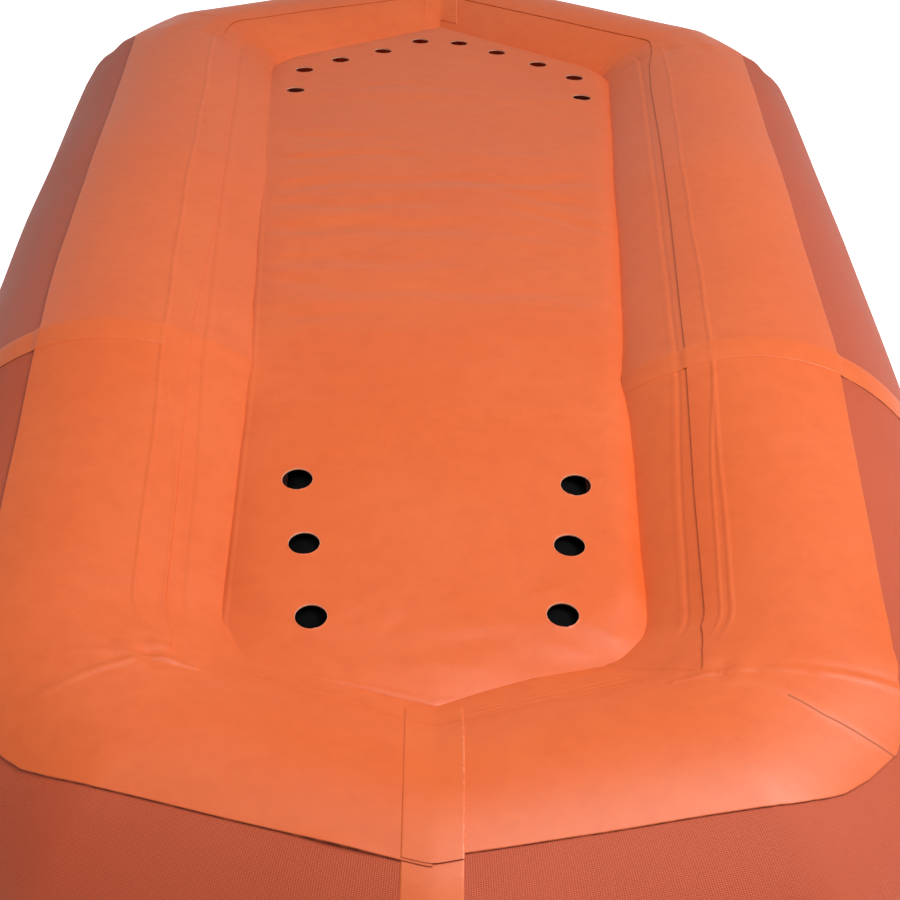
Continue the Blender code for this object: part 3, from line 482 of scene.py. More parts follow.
def hull_relief(run, angle, side):
    """Relief that the fabric shows over the whole hull: slack waves, and the corners' seams."""
    arc = angle * radius_at(run)
    places = stacked(*np.broadcast_arrays(run, arc))
    own = fade(run, 0.0, 0.12) * (1 - fade(run, FULL_RUN - 0.12, FULL_RUN))
    shared, sided = [waves(places, (0.3, 0.22), 10, seed) for seed in (3, 3 + side)]
    relief = 0.0004 * (shared * (1 - own) + sided * own)
    for seed, place in enumerate(BOW_GORE_RUNS):
        relief += 0.0005 * hill(run - place, 0.03) * waves(places, (0.3, 0.045), 8, 20 + seed)
        relief += 0.0006 * bump(run - place, 0.0035)
    x, y = corner_places(run, angle)
    near_corner = 1 - fade(np.abs(run - corner_middle), 0.1, 0.13)
    first = away_from(corner_line, x, y)
    second = away_from(gore_line, x, y)
    ridge = 0.0008 if side > 0 else 0.0014
    relief += near_corner * (ridge * bump(first, 0.0036) - 0.0004 * bump(first - 0.006, 0.005))
    step = fade(second, -0.004, 0.0035) if side > 0 else 2.2 * bump(second, 0.0045)
    relief += near_corner * 0.0007 * step
    slack = (0.0005 if side > 0 else 0.0008) * hill(x - 0.215, 0.03) * hill(y + 0.398, 0.03)
    relief += slack * waves(stacked(x, y), (0.03, 0.022), 7, 31)
    under = fade(np.abs(angle), ground_start, ground_end)
    return relief * (1 - under) + ground_rise * under


def seam_relief(run, angle, side):
    """The welded strip behind the floor's seam, seen as soft lines beside it."""
    out = (angle - seam_middle) * radius_at(run)
    along_side = fade(run, 0.29, 0.34) * (1 - fade(run, BOW_GORE_RUNS[0] + 0.02, BOW_GORE_RUNS[0] + 0.06))
    wander = 0.001 * np.sin(run * 9.0 + side) + 0.0006 * np.sin(run * 31.0)
    past = 1 - fade(run, 0.46, 0.7)
    outer_place = (0.0225 if side > 0 else 0.0275 - 0.003 * past) + wander
    inner_place = outer_place - (0.0085 if side > 0 else 0.024) * past
    relief = 0.0011 * bump(out - outer_place, 0.0032)
    relief += 0.001 * bump(out - inner_place, 0.0026) * fade(past, 0.0, 0.3)
    dark_place = -0.0085 - 0.005 * past + 0.4 * wander
    relief += 0.0005 * bump(out - dark_place + 0.005, 0.004) - 0.0009 * bump(out - dark_place, 0.0026)
    relief = relief * along_side * (0.78 if side < 0 else 0.58)
    along_end = (1 - fade(run, 0.19, 0.235)) * fade(run, 0.02, 0.06)
    for place, height in end_ripples:
        bend = 0.0012 * np.sin(run * 40.0 + place * 900)
        relief += height * bump(out - place - bend, 0.002) * along_end
    return relief


def taut_lift(run, angle, side):
    """How far the floor's flange stands off the tube, and the tapes over it."""
    height = table(flange_taut_right if side > 0 else flange_taut_left, run)
    return height * fade(-angle, *taut_angles)


def fabric_grid(run, angle):
    return stacked(angle * fabric_radius, run)


def joint_row(name):
    return next(joint for joint in frame["joints"] if joint["name"] == name)


def joint_place(name):
    """A hinge's place in the hull's frame, and its axis."""
    joint = joint_row(name)
    return np.array(joint["pos_m"], dtype=float) - shift, np.array(joint["axis"], dtype=float)


def rim_lift(rim, height):
    return height * np.sqrt(np.clip(1 - (1 - np.clip(rim / rim_rounding, 0, 1)) ** 2, 0, 1))


def named(stem, side_name):
    """The solids of one side's length of tube or skin, from stern to bow."""
    lengths = ("stern", "stern_corner", "rear_side", "front_side", "bow_corner", "bow")
    return [length + stem + side_name for length in lengths]


def tube_piece(side_name, side):
    rows = run_rows()
    for end in ends:
        place = joint_place(end + "_cap_turn")[0]
        middle = np.interp(place[1], STATIONS[2:6, 1], RUNS[2:6])
        rows = np.unique(np.concatenate((rows, np.arange(middle - 0.02, middle + 0.02, 0.0026))))
    run, angle = grid(rows, np.linspace(-math.pi, math.pi, 161)[:-1])
    points = hull(run, angle, hull_relief(run, angle, side))
    holes = [(*joint_place(end + "_cap_turn"), valve_hole_radius) for end in ends] if side > 0 else []
    piece("hull_fabric_" + side_name, points, "woven_rust", named("_tube_", side_name), side=side,
          uv=fabric_grid(run, angle), closed=True, flip=side < 0, holes=holes)


def wear_skin_piece(side_name, side):
    fine = np.array([0.0, 0.0004, 0.0009, 0.0016, 0.003])
    base = np.concatenate((fine, np.arange(0.004, 0.04, 0.0008),
                           np.arange(0.042, skin_width - 0.0045, 0.0028), skin_width - fine[::-1]))
    run, share = grid(run_rows(), base / skin_width)
    inner = inner_edge(run, side)
    wander = 0.0002 * waves(stacked(run, run * 0), (0.11, 1.0), 6, 41 + side)
    outer = outer_edge(run, side) + wander / radius_at(run)
    angle = inner + (outer - inner) * share
    relief = hull_relief(run, angle, side) + seam_relief(run, angle, side)
    rim = np.minimum(share, 1 - share) * (outer - inner) * radius_at(run)
    loose = loose_lift * bump(run - 0.055, 0.035) * (side < 0) * fade(share, 0.93, 1.0)
    points = hull(run, angle, rim_lift(rim, skin_lift) - rim_sunk * (rim <= 0) + relief + loose)
    # How dark the edge lines are painted: the outer edge fully, the inner edge as painted shade, strong on the
    # right and faint on the left
    shade_side_darkness = 1.0 if side > 0 else 0.3
    inner_edge_shade = np.interp(run, (0.262, 0.268, 1.6, 1.66), (0.0, shade_side_darkness, shade_side_darkness, 0.75))
    marks = {"rim": rim, "strength": np.where(share < 0.5, inner_edge_shade, 1.0),
             "line": gore_shade_line(run, angle, side)}
    piece("wear_skin_" + side_name, points, "coated_orange", named("_wear_skin_", side_name), side=side,
          uv=fabric_grid(run, angle), marks=marks, flip=side < 0)


def gore_shade_line(run, angle, side):
    """Signed distance to the painted shade line under the seam's step at the near right corner."""
    x, y = corner_places(run, angle)
    away = away_from(gore_line, x, y) if side > 0 else np.full(run.shape, 1.0)
    return np.where(x < gore_line_start, 1.0, away)


def flange_piece(side_name, side):
    """The floor's flange, which lies on the tubes' inner flanks and tucks under the wear skin."""
    shares = np.concatenate((np.linspace(0, 0.48, 46), np.linspace(0.5, 1.0, 20)))
    run, share = grid(run_rows(), shares)
    start = inner_edge(run, side) + flange_under
    angle = start + (flange_end - start) * share
    relief = hull_relief(run, angle, side) + seam_relief(run, angle, side)
    points = hull(run, angle, flange_lift + relief + taut_lift(run, angle, side))
    piece("floor_flange_" + side_name, points, "coated_orange", side=side, uv=fabric_grid(run, angle),
          marks=no_marks, flip=side > 0)


# Floor panel


def crest_line(y):
    """The side tubes' crest, rounded where they bend at their bands."""
    places = STATIONS[2:6, 1]
    heights = STATIONS[2:6, 2] + 2 * STATIONS[2:6, 3] * flat_share
    slopes = np.diff(heights) / np.diff(places)
    total = 0
    for offset in np.linspace(-1, 1, 5):
        at = y + crest_window * offset
        before = np.minimum(at - places[0], 0) * slopes[0]
        past = np.maximum(at - places[-1], 0) * slopes[-1]
        total += (np.interp(at, places, heights) + before + past) / 5
    return total


def panel_half(y):
    share = np.maximum(y / panel_taper_end, 0)
    return panel_half_width + (panel_bow_half_width - panel_half_width) * share


def panel_inset(x, y):
    """How far a plan place lies inside the panel's outline."""
    bulge = np.where(x > 0, 0.005 + 0.005 * bump(y + 0.34, 0.12), 0.003)
    corner = np.where((x < 0) & (y < 0), panel_left_corner, panel_corner)
    stern_corner = np.where(x < 0, panel_left_stern_corner, panel_stern_corner)
    x = np.abs(x)
    insets = [panel_half(y) + bulge - x]
    for corner_y, apex_y, direction, half in (
            (stern_corner, panel_stern_apex, 1, panel_half_width),
            (panel_bow_corner, panel_bow_apex, -1, panel_bow_half_width)):
        slope = (corner_y - apex_y) / half
        insets.append((y - apex_y - slope * x) * direction / np.hypot(1, slope))
    first, second = np.sort(np.stack(insets), axis=0)[:2]
    rounded = corner - np.hypot(corner - first, corner - second)
    return np.where(second < corner, rounded, first)


def panel_wrinkles(x, y):
    """Soft waves of the slack floor: across it in the far half, dents by the near holes."""
    far = fade(y, 0.02, 0.22) * (1 - fade(y, 0.72, 0.92))
    bands = stacked(x * 0.35 + 0.05 * np.sin(y * 9.0), y)
    relief = 0.0005 * far * np.tanh(waves(bands, (0.6, 0.07), 9, 7))
    relief += 0.0005 * np.tanh(waves(stacked(x, y), (0.16, 0.14), 10, 8))
    deeper = ripple_depth + ripple_left_depth * fade(-x, 0.04, 0.14)
    for line_y, start_x, end_x, depth, width, tilt in floor_ripples:
        reach = fade(x, start_x - 0.03, start_x + 0.03) * (1 - fade(x, end_x - 0.05, end_x + 0.05))
        bend = tilt * (x - start_x) + 0.004 * np.sin(x * 50 + line_y * 60)
        relief -= depth * deeper * reach * bump(y - line_y - bend, width * ripple_width)
    for dent_x, dent_y, long_x, long_y, turn, depth in floor_dents:
        across = (x - dent_x) * math.cos(turn) + (y - dent_y) * math.sin(turn)
        along = (y - dent_y) * math.cos(turn) - (x - dent_x) * math.sin(turn)
        relief += depth * hill(across, long_x) * hill(along, long_y)
    return relief


def panel_height(x, y):
    """The panel's height: a plump field inside a roll, which starts in the valley beside it."""
    inset = panel_inset(x, y)
    share = np.clip(inset / (panel_roll + panel_stern_roll * fade(-y, 0.27, 0.35)), 0, 1)
    raised = 1 - (1 - share) ** panel_fullness
    to_left = fade(-x, -0.06, 0.06)
    to_bow = fade(y, 0.7, 0.95)
    left_rise = valley_left_rise - valley_left_bow_sink * to_bow
    left_rise = left_rise - valley_left_stern_sink * fade(-y, 0.0, 0.1) + valley_band_rise * bump(y, 0.09)
    left_rise = left_rise - valley_left_far_sink * bump(y - 0.2, 0.1)
    valley = valley_drop - to_left * left_rise - valley_stern_rise * fade(-y, 0.33, 0.385)
    valley -= valley_band_rise * bump(y, 0.15) * (1 - to_left)
    field = crown * np.clip(1 - (x / panel_half(y)) ** 2, 0, 1) + panel_stern_rise * fade(-y, 0.1, 0.32)
    height = crest_line(y) - valley + (valley - panel_drop + field) * raised
    height += np.minimum(inset, 0) * panel_side_slope
    height += weld_height * to_left * bump(inset - weld_inset, weld_half) * (1 - to_bow)
    return height + panel_wrinkles(x, y) * fade(inset, 0.0, 0.045)


def spread(count, edge_share):
    """Places from -1 to 1, closer together towards both ends."""
    even = np.linspace(-1, 1, count)
    return even * (1 - edge_share) + np.sin(even * math.pi / 2) * edge_share


def panel_piece():
    row, column = grid((spread(430, 0.35) + 1) / 2, spread(151, 0.55))
    stern_edge = panel_left_stern_corner - panel_margin
    bow_edge = panel_bow_corner + panel_margin
    stern_middle = panel_stern_apex - panel_margin
    bow_middle = panel_bow_apex + panel_margin
    edge_y = stern_edge + (bow_edge - stern_edge) * row
    middle_y = stern_middle + (bow_middle - stern_middle) * row
    y = middle_y + (edge_y - middle_y) * np.abs(column)
    x = column * (panel_half(edge_y) + panel_margin)
    points = stacked(x, y, panel_height(x, y))
    holes = [(*hole, stern_hole_radius) for hole in stern_holes]
    holes += [(*hole, bow_hole_radius) for hole in bow_holes]
    drills = [((hole_x, hole_y, float(panel_height(np.array(hole_x), np.array(hole_y)))), (0, 0, 1), radius)
              for hole_x, hole_y, radius in holes]
    piece("floor_panel", points, "coated_orange", ["bottom_skin"], uv=points[..., :2], holes=drills,
          marks=no_marks)
    return holes


def hole_rims(holes):
    """The cut edges of the drain holes, which show the fabric's pale core."""
    turn = turns_of(48)
    for number, (x, y, radius) in enumerate(holes):
        ring = []
        for out, up in hole_rim:
            px = x + (radius + out) * np.cos(turn)
            py = y + (radius + out) * np.sin(turn)
            ring.append(stacked(px, py, panel_height(px, py) + up))
        points = np.stack(ring, axis=1)
        points = np.concatenate((points, points[:1]), axis=0)
        piece("drain_hole_rim_%02d" % number, points, "coated_orange",
              uv=np.zeros((*points.shape[:2], 2)), material=core)


# Tapes


def tape_strip(name, run, angle, lift, rim, strength, pale, side, nodes):
    piece(name, hull(run, angle, lift), "seam_tape", nodes, side=side, uv=fabric_grid(run, angle),
          marks={"rim": rim, "strength": strength, "pale": pale}, flip=side < 0)


def side_band(side_name, side):
    """Tape around a side tube, over the edges of its skin."""
    angles = np.linspace(math.radians(-44 if side > 0 else -15), math.radians(200), 240)
    offset, angle = grid(tape_columns * band_half, angles)
    run = BAND_RUN - band_setback + offset + 0.001 * np.sin(angle * 5.0 + side)
    rim = band_half - np.abs(offset)
    over_skin = fade((angle - inner_edge(run, side)) * band_radius, -0.004, 0.0)
    on_skin = 1 - fade((angle - outer_edge(run, side)) * band_radius, -0.0005, 0.0035)
    base = flange_lift + (skin_lift - flange_lift) * over_skin
    lift = base * on_skin + rim_lift(rim, tape_height) + hull_relief(run, angle, side)
    lift += seam_relief(run, angle, side) * on_skin + taut_lift(run, angle, side)
    # A dark line along the lower edge, where the band leaves the skin: painted shadow of the band's edge on the
    # woven fabric
    strength = (1 - on_skin) * (offset < 0)
    tape_strip("side_tape_" + side_name, run, angle, lift, rim, strength, 0.0, side,
               ["side_band_" + side_name])


def apex_tape(end):
    """Tape over the joint of the two end tubes: one length on the skin, one on the woven fabric."""
    half = apex_tape_half
    spread_run = 0.06
    middle, sign, edge = (0.0, 1, 26.5) if end == "stern" else (FULL_RUN, -1, 30.0)
    for part, first, last in (("upper", -31, edge), ("lower", edge, 160)):
        angles = np.linspace(math.radians(first), math.radians(last), 90)
        offset, angle = grid(tape_columns * half, angles)
        run = middle + sign * offset * spread_run / hull(middle + sign * spread_run, angle)[..., 0]
        rim = half - np.abs(offset)
        lift = rim_lift(rim, tape_height) + hull_relief(FULL_RUN - np.abs(FULL_RUN - np.abs(run)), angle, 1)
        upper = part == "upper"
        if upper:
            over_skin = fade((angle - inner_edge(np.abs(run), 1)) * fabric_radius, -0.004, 0.0)
            lift += flange_lift + (skin_lift - flange_lift) * over_skin
            lift += taut_lift(np.abs(run), angle, 1)
        # A pale broken line along the tape's right edge: painted highlight where the raised edge catches the light
        pale = bump(offset - half * 0.97, 0.001) * (0.26 if upper else 0.08)
        tape_strip(end + "_tape_" + part, run, angle, lift, rim, 0.0, pale, 1,
                   [end + "_apex_tape"] if upper else [])


# Materials

coat_sheen = {"Sheen Weight": 0.05, "Sheen Roughness": 0.35, "Sheen Tint": (1.0, 0.82, 0.74, 1.0)}
weave_sheen = {"Sheen Weight": 0.05, "Sheen Roughness": 0.4, "Sheen Tint": (1.0, 0.8, 0.74, 1.0)}


class Nodes:
    """A short way to write the nodes of a material or a world."""

    def __init__(self, owner, shader="Principled BSDF"):
        owner.use_nodes = True
        self.owner = owner
        self.tree = owner.node_tree
        self.shader = self.tree.nodes[shader]

    def add(self, kind, inputs=None, output=0, **settings):
        node = self.tree.nodes.new(kind)
        for key, value in settings.items():
            setattr(node, key, value)
        for key, value in (inputs or {}).items():
            self.put(node.inputs[key], value)
        return node.outputs[output]

    def put(self, socket, value):
        if isinstance(value, bpy.types.NodeSocket):
            self.tree.links.new(value, socket)
        else:
            socket.default_value = value

    def math(self, operation, first, second=0.0):
        return self.add("ShaderNodeMath", {0: first, 1: second}, operation=operation)

    def mix(self, factor, first, second):
        return self.add("ShaderNodeMix", {0: factor, 6: first, 7: second}, 2, data_type="RGBA")

    def noise(self, vector, scale, detail=3.0, roughness=0.5):
        return self.add("ShaderNodeTexNoise", {"Vector": vector, "Scale": scale, "Detail": detail,
                                               "Roughness": roughness})

    def ramp(self, value, low, high, first=0.0, second=1.0):
        return self.add("ShaderNodeMapRange", {"Value": value, "From Min": low, "From Max": high,
                                               "To Min": first, "To Max": second})

    def bump(self, height, strength, distance):
        return self.add("ShaderNodeBump", {"Height": height, "Strength": strength, "Distance": distance})

    def fabric(self):
        return self.add("ShaderNodeUVMap", uv_map="fabric")

    def place(self):
        return self.add("ShaderNodeTexCoord", output="Object")

    def mark(self, name):
        return self.add("ShaderNodeAttribute", output="Fac", attribute_name=name)

    def split(self, vector):
        """The first two parts of a vector."""
        first = self.add("ShaderNodeSeparateXYZ", {"Vector": vector})
        return first, first.node.outputs["Y"]

    def camera_sees(self, low, high):
        """A strength for the light that goes round, and another for what the camera sees."""
        seen = self.add("ShaderNodeLightPath", output="Is Camera Ray")
        return self.ramp(seen, 0.0, 1.0, low, high)

    def threads(self, first, second, pitch):
        """The product of two waves, as crossing threads make it."""
        across, along = [self.math("SINE", self.math("MULTIPLY", value, full_turn / pitch))
                         for value in (first, second)]
        return self.math("MULTIPLY", across, along)

    def finish(self, inputs):
        """Wire the shader up, and give the material or world."""
        for key, value in inputs.items():
            self.put(self.shader.inputs[key], value)
        return self.owner


def material_nodes(name):
    return Nodes(bpy.data.materials.new(name))


def linear(red, green, blue):
    """A colour given as a screen shows it, made linear for the shader."""
    shares = [value / 255 for value in (red, green, blue)]
    return (*[share / 12.92 if share <= 0.04045 else ((share + 0.055) / 1.055) ** 2.4
              for share in shares], 1.0)


def coated_fabric(name, base, pale, deep, edge_line_and_shade_colour, edge_highlight_colour=None):
    """Smooth coated fabric: faint weave under the coat, cloudy colour and gloss, and its marks: dark edge lines
    that are partly painted shade, and a painted highlight along tape edges.
    """
    n = material_nodes(name)
    uv = n.fabric()
    place = n.place()
    cloud = n.noise(place, 6.0, 4.0, 0.55)
    colour = n.mix(n.ramp(cloud, 0.38, 0.68), base, pale)
    mottle = n.noise(place, 55.0, 4.0, 0.65)
    colour = n.mix(n.ramp(mottle, 0.42, 0.75, 0.0, 0.45), colour, deep)
    weave = n.threads(*n.split(uv), 0.0014)
    colour = n.mix(n.ramp(weave, 0.0, 1.0, 0.0, 0.1), colour, deep)
    # Dark lines along cut edges: the glued edge's own colour with painted shade on top, as dark as the strength
    # mark says
    rim = n.mark("rim")
    strength = n.mark("strength")
    edge = n.math("MULTIPLY", n.ramp(rim, 0.0002, 0.0009, 1.0, 0.0), strength)
    patchy = n.noise(place, 120.0, 2.0, 0.5)
    edge = n.math("MULTIPLY", edge, n.ramp(patchy, 0.3, 0.55, 0.55, 1.0))
    colour = n.mix(edge, colour, edge_line_and_shade_colour)
    # Painted highlight along a tape's edge, broken into dashes
    if edge_highlight_colour:
        mark = n.mark("pale")
        highlight_breaks = n.ramp(n.noise(place, 260.0, 2.0, 0.6), 0.46, 0.58)
        colour = n.mix(n.math("MULTIPLY", n.math("MULTIPLY", mark, highlight_breaks), 0.75), colour, edge_highlight_colour)
    else:
        # Painted shade: a dark line under the seam's step at the near right corner
        painted_seam_shade = n.ramp(n.math("ABSOLUTE", n.mark("line")), 0.0003, 0.0011, 0.55, 0.0)
        colour = n.mix(painted_seam_shade, colour, edge_line_and_shade_colour)
        edge = n.math("MAXIMUM", edge, painted_seam_shade)
    gloss = n.ramp(cloud, 0.3, 0.7, 0.34, 0.44)
    rough = n.math("ADD", gloss, n.math("MULTIPLY", edge, 0.45))
    grain = n.noise(place, 700.0, 3.0, 0.65)
    dimple = n.noise(place, 120.0, 2.0, 0.5)
    height = n.math("ADD", n.math("MULTIPLY", weave, 0.3), grain)
    height = n.math("ADD", height, n.math("MULTIPLY", dimple, 1.6))
    return n.finish({"Base Color": colour, "Roughness": rough, "Normal": n.bump(height, 0.16, 0.0005),
                     "Specular IOR Level": 0.55, **coat_sheen})


def woven_fabric(name, base, pale, deep):
    """The hull's own fabric, with its fine lattice of raised threads."""
    n = material_nodes(name)
    uv = n.fabric()
    place = n.place()
    split = n.split(uv)
    along, across = [n.math(operation, *split) for operation in ("ADD", "SUBTRACT")]
    lattice = n.threads(along, across, 0.002 * 1.414)
    cloud = n.noise(place, 6.0, 4.0, 0.55)
    colour = n.mix(n.ramp(cloud, 0.35, 0.7), base, pale)
    colour = n.mix(n.ramp(lattice, -0.6, 0.9, 0.5, 0.0), colour, deep)
    rough = n.ramp(cloud, 0.3, 0.7, 0.46, 0.58)
    return n.finish({"Base Color": colour, "Roughness": rough, "Normal": n.bump(lattice, 0.4, 0.0005),
                     "Specular IOR Level": 0.34, **weave_sheen})


def plain_fabric(name, base, pale, rough):
    """Dark fabric with a fine weave."""
    n = material_nodes(name)
    place = n.place()
    cloud = n.noise(place, 14.0, 4.0, 0.55)
    colour = n.mix(n.ramp(cloud, 0.35, 0.7), base, pale)
    gloss = n.ramp(cloud, 0.3, 0.7, rough - 0.05, rough + 0.08)
    weave = n.threads(*n.split(place), 0.0016)
    return n.finish({"Base Color": colour, "Roughness": gloss, "Normal": n.bump(weave, 0.25, 0.0004),
                     "Specular IOR Level": 0.08})


def moulded(name, base, pale, rough):
    n = material_nodes(name)
    place = n.place()
    grain = n.noise(place, 700.0, 3.0, 0.6)
    cloud = n.noise(place, 60.0, 2.0, 0.5)
    colour = n.mix(n.ramp(cloud, 0.3, 0.7), base, pale)
    gloss = n.ramp(cloud, 0.3, 0.7, rough - 0.06, rough + 0.06)
    return n.finish({"Base Color": colour, "Roughness": gloss, "Normal": n.bump(grain, 0.15, 0.0003)})


def wire(name):
    n = material_nodes(name)
    cloud = n.noise(n.place(), 90.0, 3.0, 0.6)
    colour = n.mix(cloud, (0.5, 0.51, 0.52, 1), (0.72, 0.73, 0.74, 1))
    return n.finish({"Base Color": colour, "Roughness": n.ramp(cloud, 0.3, 0.7, 0.18, 0.34),
                     "Metallic": 1.0})


looks = {
    "coated_orange": coated_fabric("coated_orange", (0.78, 0.131, 0.024, 1), (0.8, 0.148, 0.034, 1),
                                   (0.68, 0.106, 0.019, 1), linear(98, 32, 12)),
    # The tape's last colour is its painted edge highlight
    "seam_tape": coated_fabric("tape_orange", (0.79, 0.138, 0.026, 1), (0.81, 0.156, 0.037, 1),
                               (0.69, 0.113, 0.02, 1), linear(110, 38, 16), linear(255, 214, 186)),
    "woven_rust": woven_fabric("woven_rust", (0.6, 0.096, 0.032, 1), (0.66, 0.118, 0.046, 1),
                               (0.3, 0.034, 0.011, 1)),
    # Near black: the mattress's own dark colour, darkened further as painted shade of the hollow seen through the
    # drain holes
    "mattress_fabric": plain_fabric("mattress_fabric", (0.0012, 0.0013, 0.0016, 1),
                                    (0.0026, 0.0028, 0.0034, 1), 0.75),
    "seat_fabric": plain_fabric("seat_fabric", (0.03, 0.033, 0.038, 1), (0.045, 0.05, 0.056, 1), 0.62),
    "valve_plastic": moulded("valve_plastic", (0.022, 0.022, 0.024, 1), (0.033, 0.033, 0.036, 1), 0.42),
    "steel": wire("steel")}
core = plain_fabric("cut_fabric_core", linear(226, 160, 130), linear(238, 178, 150), 0.6)


# Inside the hull: mattress, seat, backrest and baffles


def mattress_floor(y):
    return crest_line(y) - panel_drop - mattress_depth


def signed_power(value, power):
    return np.sign(value) * np.abs(value) ** power


def mattress_piece():
    """The inflated floor: five lengthwise chambers that meet the skin above and the seat below."""
    stern = panel_stern_corner + mattress_margin
    bow = panel_bow_corner - mattress_bow_setback
    end_rows = mattress_end * (1 - np.cos(np.linspace(0, math.pi / 2, 12)[:-1]))
    middle_rows = np.arange(stern + 0.03, bow - 0.03, 0.0055)
    y_rows = np.concatenate((stern + end_rows, middle_rows, bow - end_rows[::-1]))
    y, turn = grid(y_rows, turns_of(160))
    to_end = np.minimum(y - stern, bow - y)
    fullness = np.sqrt(np.clip(1 - (1 - np.clip(to_end / mattress_end, 0, 1)) ** 2, 0.002, 1))
    up = signed_power(np.sin(turn), 0.42)
    width = (panel_half(y) - mattress_margin - mattress_lean * (1 - up) / 2) * (0.93 + 0.07 * fullness)
    across = signed_power(np.cos(turn), 0.62)
    x = across * width
    lobes = 1 - np.abs(np.sin(2.5 * math.pi * (across + 1))) ** 0.8
    top = panel_height(x, y) - mattress_gap - 0.006 * lobes * fade(np.abs(up), 0.7, 1.0)
    bottom = mattress_floor(y) + 0.009 * lobes * (1 - bump(np.hypot(x, y - floor_valve_y), 0.05))
    middle = (panel_height(x * 0, y) - mattress_gap + mattress_floor(y)) / 2
    height = np.where(up > 0, middle + (top - middle) * up, middle + (bottom - middle) * -up)
    points = stacked(x, y, middle + (height - middle) * fullness)
    thing = piece("floor_mattress", points, "mattress_fabric", ["inner_floor"], uv=points[..., :2],
                  closed=True, caps=True, holes=[(*joint_place("floor_cap_turn"), valve_hole_radius)])


def evaluated(thing):
    """A mesh of the object as its modifiers leave it."""
    graph = bpy.context.evaluated_depsgraph_get()
    return bpy.data.meshes.new_from_object(thing.evaluated_get(graph))


def coordinates(mesh):
    places = np.empty(len(mesh.vertices) * 3)
    mesh.vertices.foreach_get("co", places)
    return places.reshape(-1, 3)


def cushion_block(half_width, half_length, thickness):
    """A soft edged block, flat on the plane z = 0, to be blown up."""
    work = bmesh.new()
    bmesh.ops.create_cube(work, size=2.0)
    bmesh.ops.subdivide_edges(work, edges=work.edges[:], cuts=11, use_grid_fill=True)
    for vert in work.verts:
        x, y, z = vert.co
        edge = max(abs(x), abs(y)) ** 6
        narrow = (1 - 0.05 * (x * y) ** 4) * (1 - 0.05 * z * z)
        vert.co = (x * half_width * narrow, y * half_length * narrow,
                   thickness * (0.5 + 0.5 * z * (1 - 0.45 * edge)))
    mesh = bpy.data.meshes.new("cushion_block")
    work.to_mesh(mesh)
    work.free()
    return mesh


def blown_up(mesh):
    """The block remeshed, swelled as cloth under pressure, and smoothed once."""
    thing = in_scene("cushion_work", mesh)
    remesh = thing.modifiers.new("remesh", "REMESH")
    remesh.mode = "VOXEL"
    remesh.voxel_size = cushion_voxel
    thing.data = evaluated(thing)
    thing.modifiers.clear()
    start = coordinates(thing.data)
    cloth = thing.modifiers.new("cloth", "CLOTH")
    cloth.settings.use_pressure = True
    cloth.settings.uniform_pressure_force = 4.0
    cloth.settings.effector_weights.gravity = 0.0
    cloth.settings.quality = 6
    for step in range(1, cushion_frames + 1):
        scene.frame_set(step)
    moved = coordinates(evaluated(thing)) - start
    scene.frame_set(1)
    thing.modifiers.clear()
    length = np.linalg.norm(moved, axis=1, keepdims=True)
    capped = start + moved * np.minimum(1, cushion_cap / np.maximum(length, 1e-9))
    thing.data.vertices.foreach_set("co", capped.ravel())
    thing.data.update()
    smooth = thing.modifiers.new("smooth", "SUBSURF")
    smooth.levels = 1
    result = evaluated(thing)
    bpy.data.objects.remove(thing)
    return result


def cushion_piece(name, node, size, to_world, channels):
    """A blown up cushion with welded channels and a flat welded rim, laid in its solid's space."""
    half_width, half_length, thickness = size
    mesh = blown_up(cushion_block(half_width - cushion_border, half_length - cushion_border,
                                  thickness - 0.006))
    places = coordinates(mesh)
    places[:, 2] += 0.003
    for channel_y in channels:
        dip = bump(places[:, 1] - channel_y * half_length, 0.016)
        dip = dip * fade(half_width - np.abs(places[:, 0]), 0.018, 0.04)
        places[:, 2] += (thickness / 2 - places[:, 2]) * 0.3 * dip
    valve = np.hypot(places[:, 0] - half_width / 2, places[:, 1] - half_length / 2)
    flat = np.minimum(1, bump(valve, 0.026) * 1.6) * (places[:, 2] > thickness / 2)
    places[:, 2] += (thickness - cushion_skin - places[:, 2]) * flat
    low = (-half_width, -half_length, cushion_skin)
    places = np.clip(places, low, (half_width, half_length, thickness - cushion_skin))
    turn = np.array(to_world)
    mesh.vertices.foreach_set("co", (places @ turn[:3, :3].T + turn[:3, 3]).ravel())
    mesh.update()
    body = "backrest" if node == "backrest" else "hull"
    thing = placed(name, mesh, "seat_fabric", [node], body)
    cushion_rim(name + "_rim", size, turn, body)


def cushion_rim(name, size, turn, body):
    """The flat welded rim around a cushion's middle."""
    half_width, half_length, thickness = size
    turns = np.linspace(0, full_turn, 129)
    rings = []
    for inset, lift in cushion_rim_rings:
        x, y = [np.sign(wave) * (half - inset - cushion_rim_corner) + cushion_rim_corner * wave
                for half, wave in ((half_width, np.cos(turns)), (half_length, np.sin(turns)))]
        rings.append(stacked(x, y, thickness / 2 + lift + 0.001 * np.sin(turns * 14 + 1)))
    points = np.stack(rings, axis=0) @ turn[:3, :3].T + turn[:3, 3] - shift
    piece(name, points, "seat_fabric", body=body)


def seat_piece():
    back_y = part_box("backrest")[1].y - hull_shift + seat_rear_gap
    front, back = [float(mattress_floor(np.array(y))) for y in (seat_front_y, back_y)]
    slope = math.atan2(front - back, seat_front_y - back_y)
    turn = Matrix.Rotation(slope, 4, "X") @ Matrix.Rotation(math.pi, 4, "Y")
    place = Vector((0, (seat_front_y + back_y) / 2 + hull_shift, (front + back) / 2 - seat_rear_gap))
    size = (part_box("seat_cushion")[1].x, (seat_front_y - back_y) / 2, seat_thickness)
    cushion_piece("seat", "seat_cushion", size, Matrix.Translation(place) @ turn, (-0.36, 0.36))


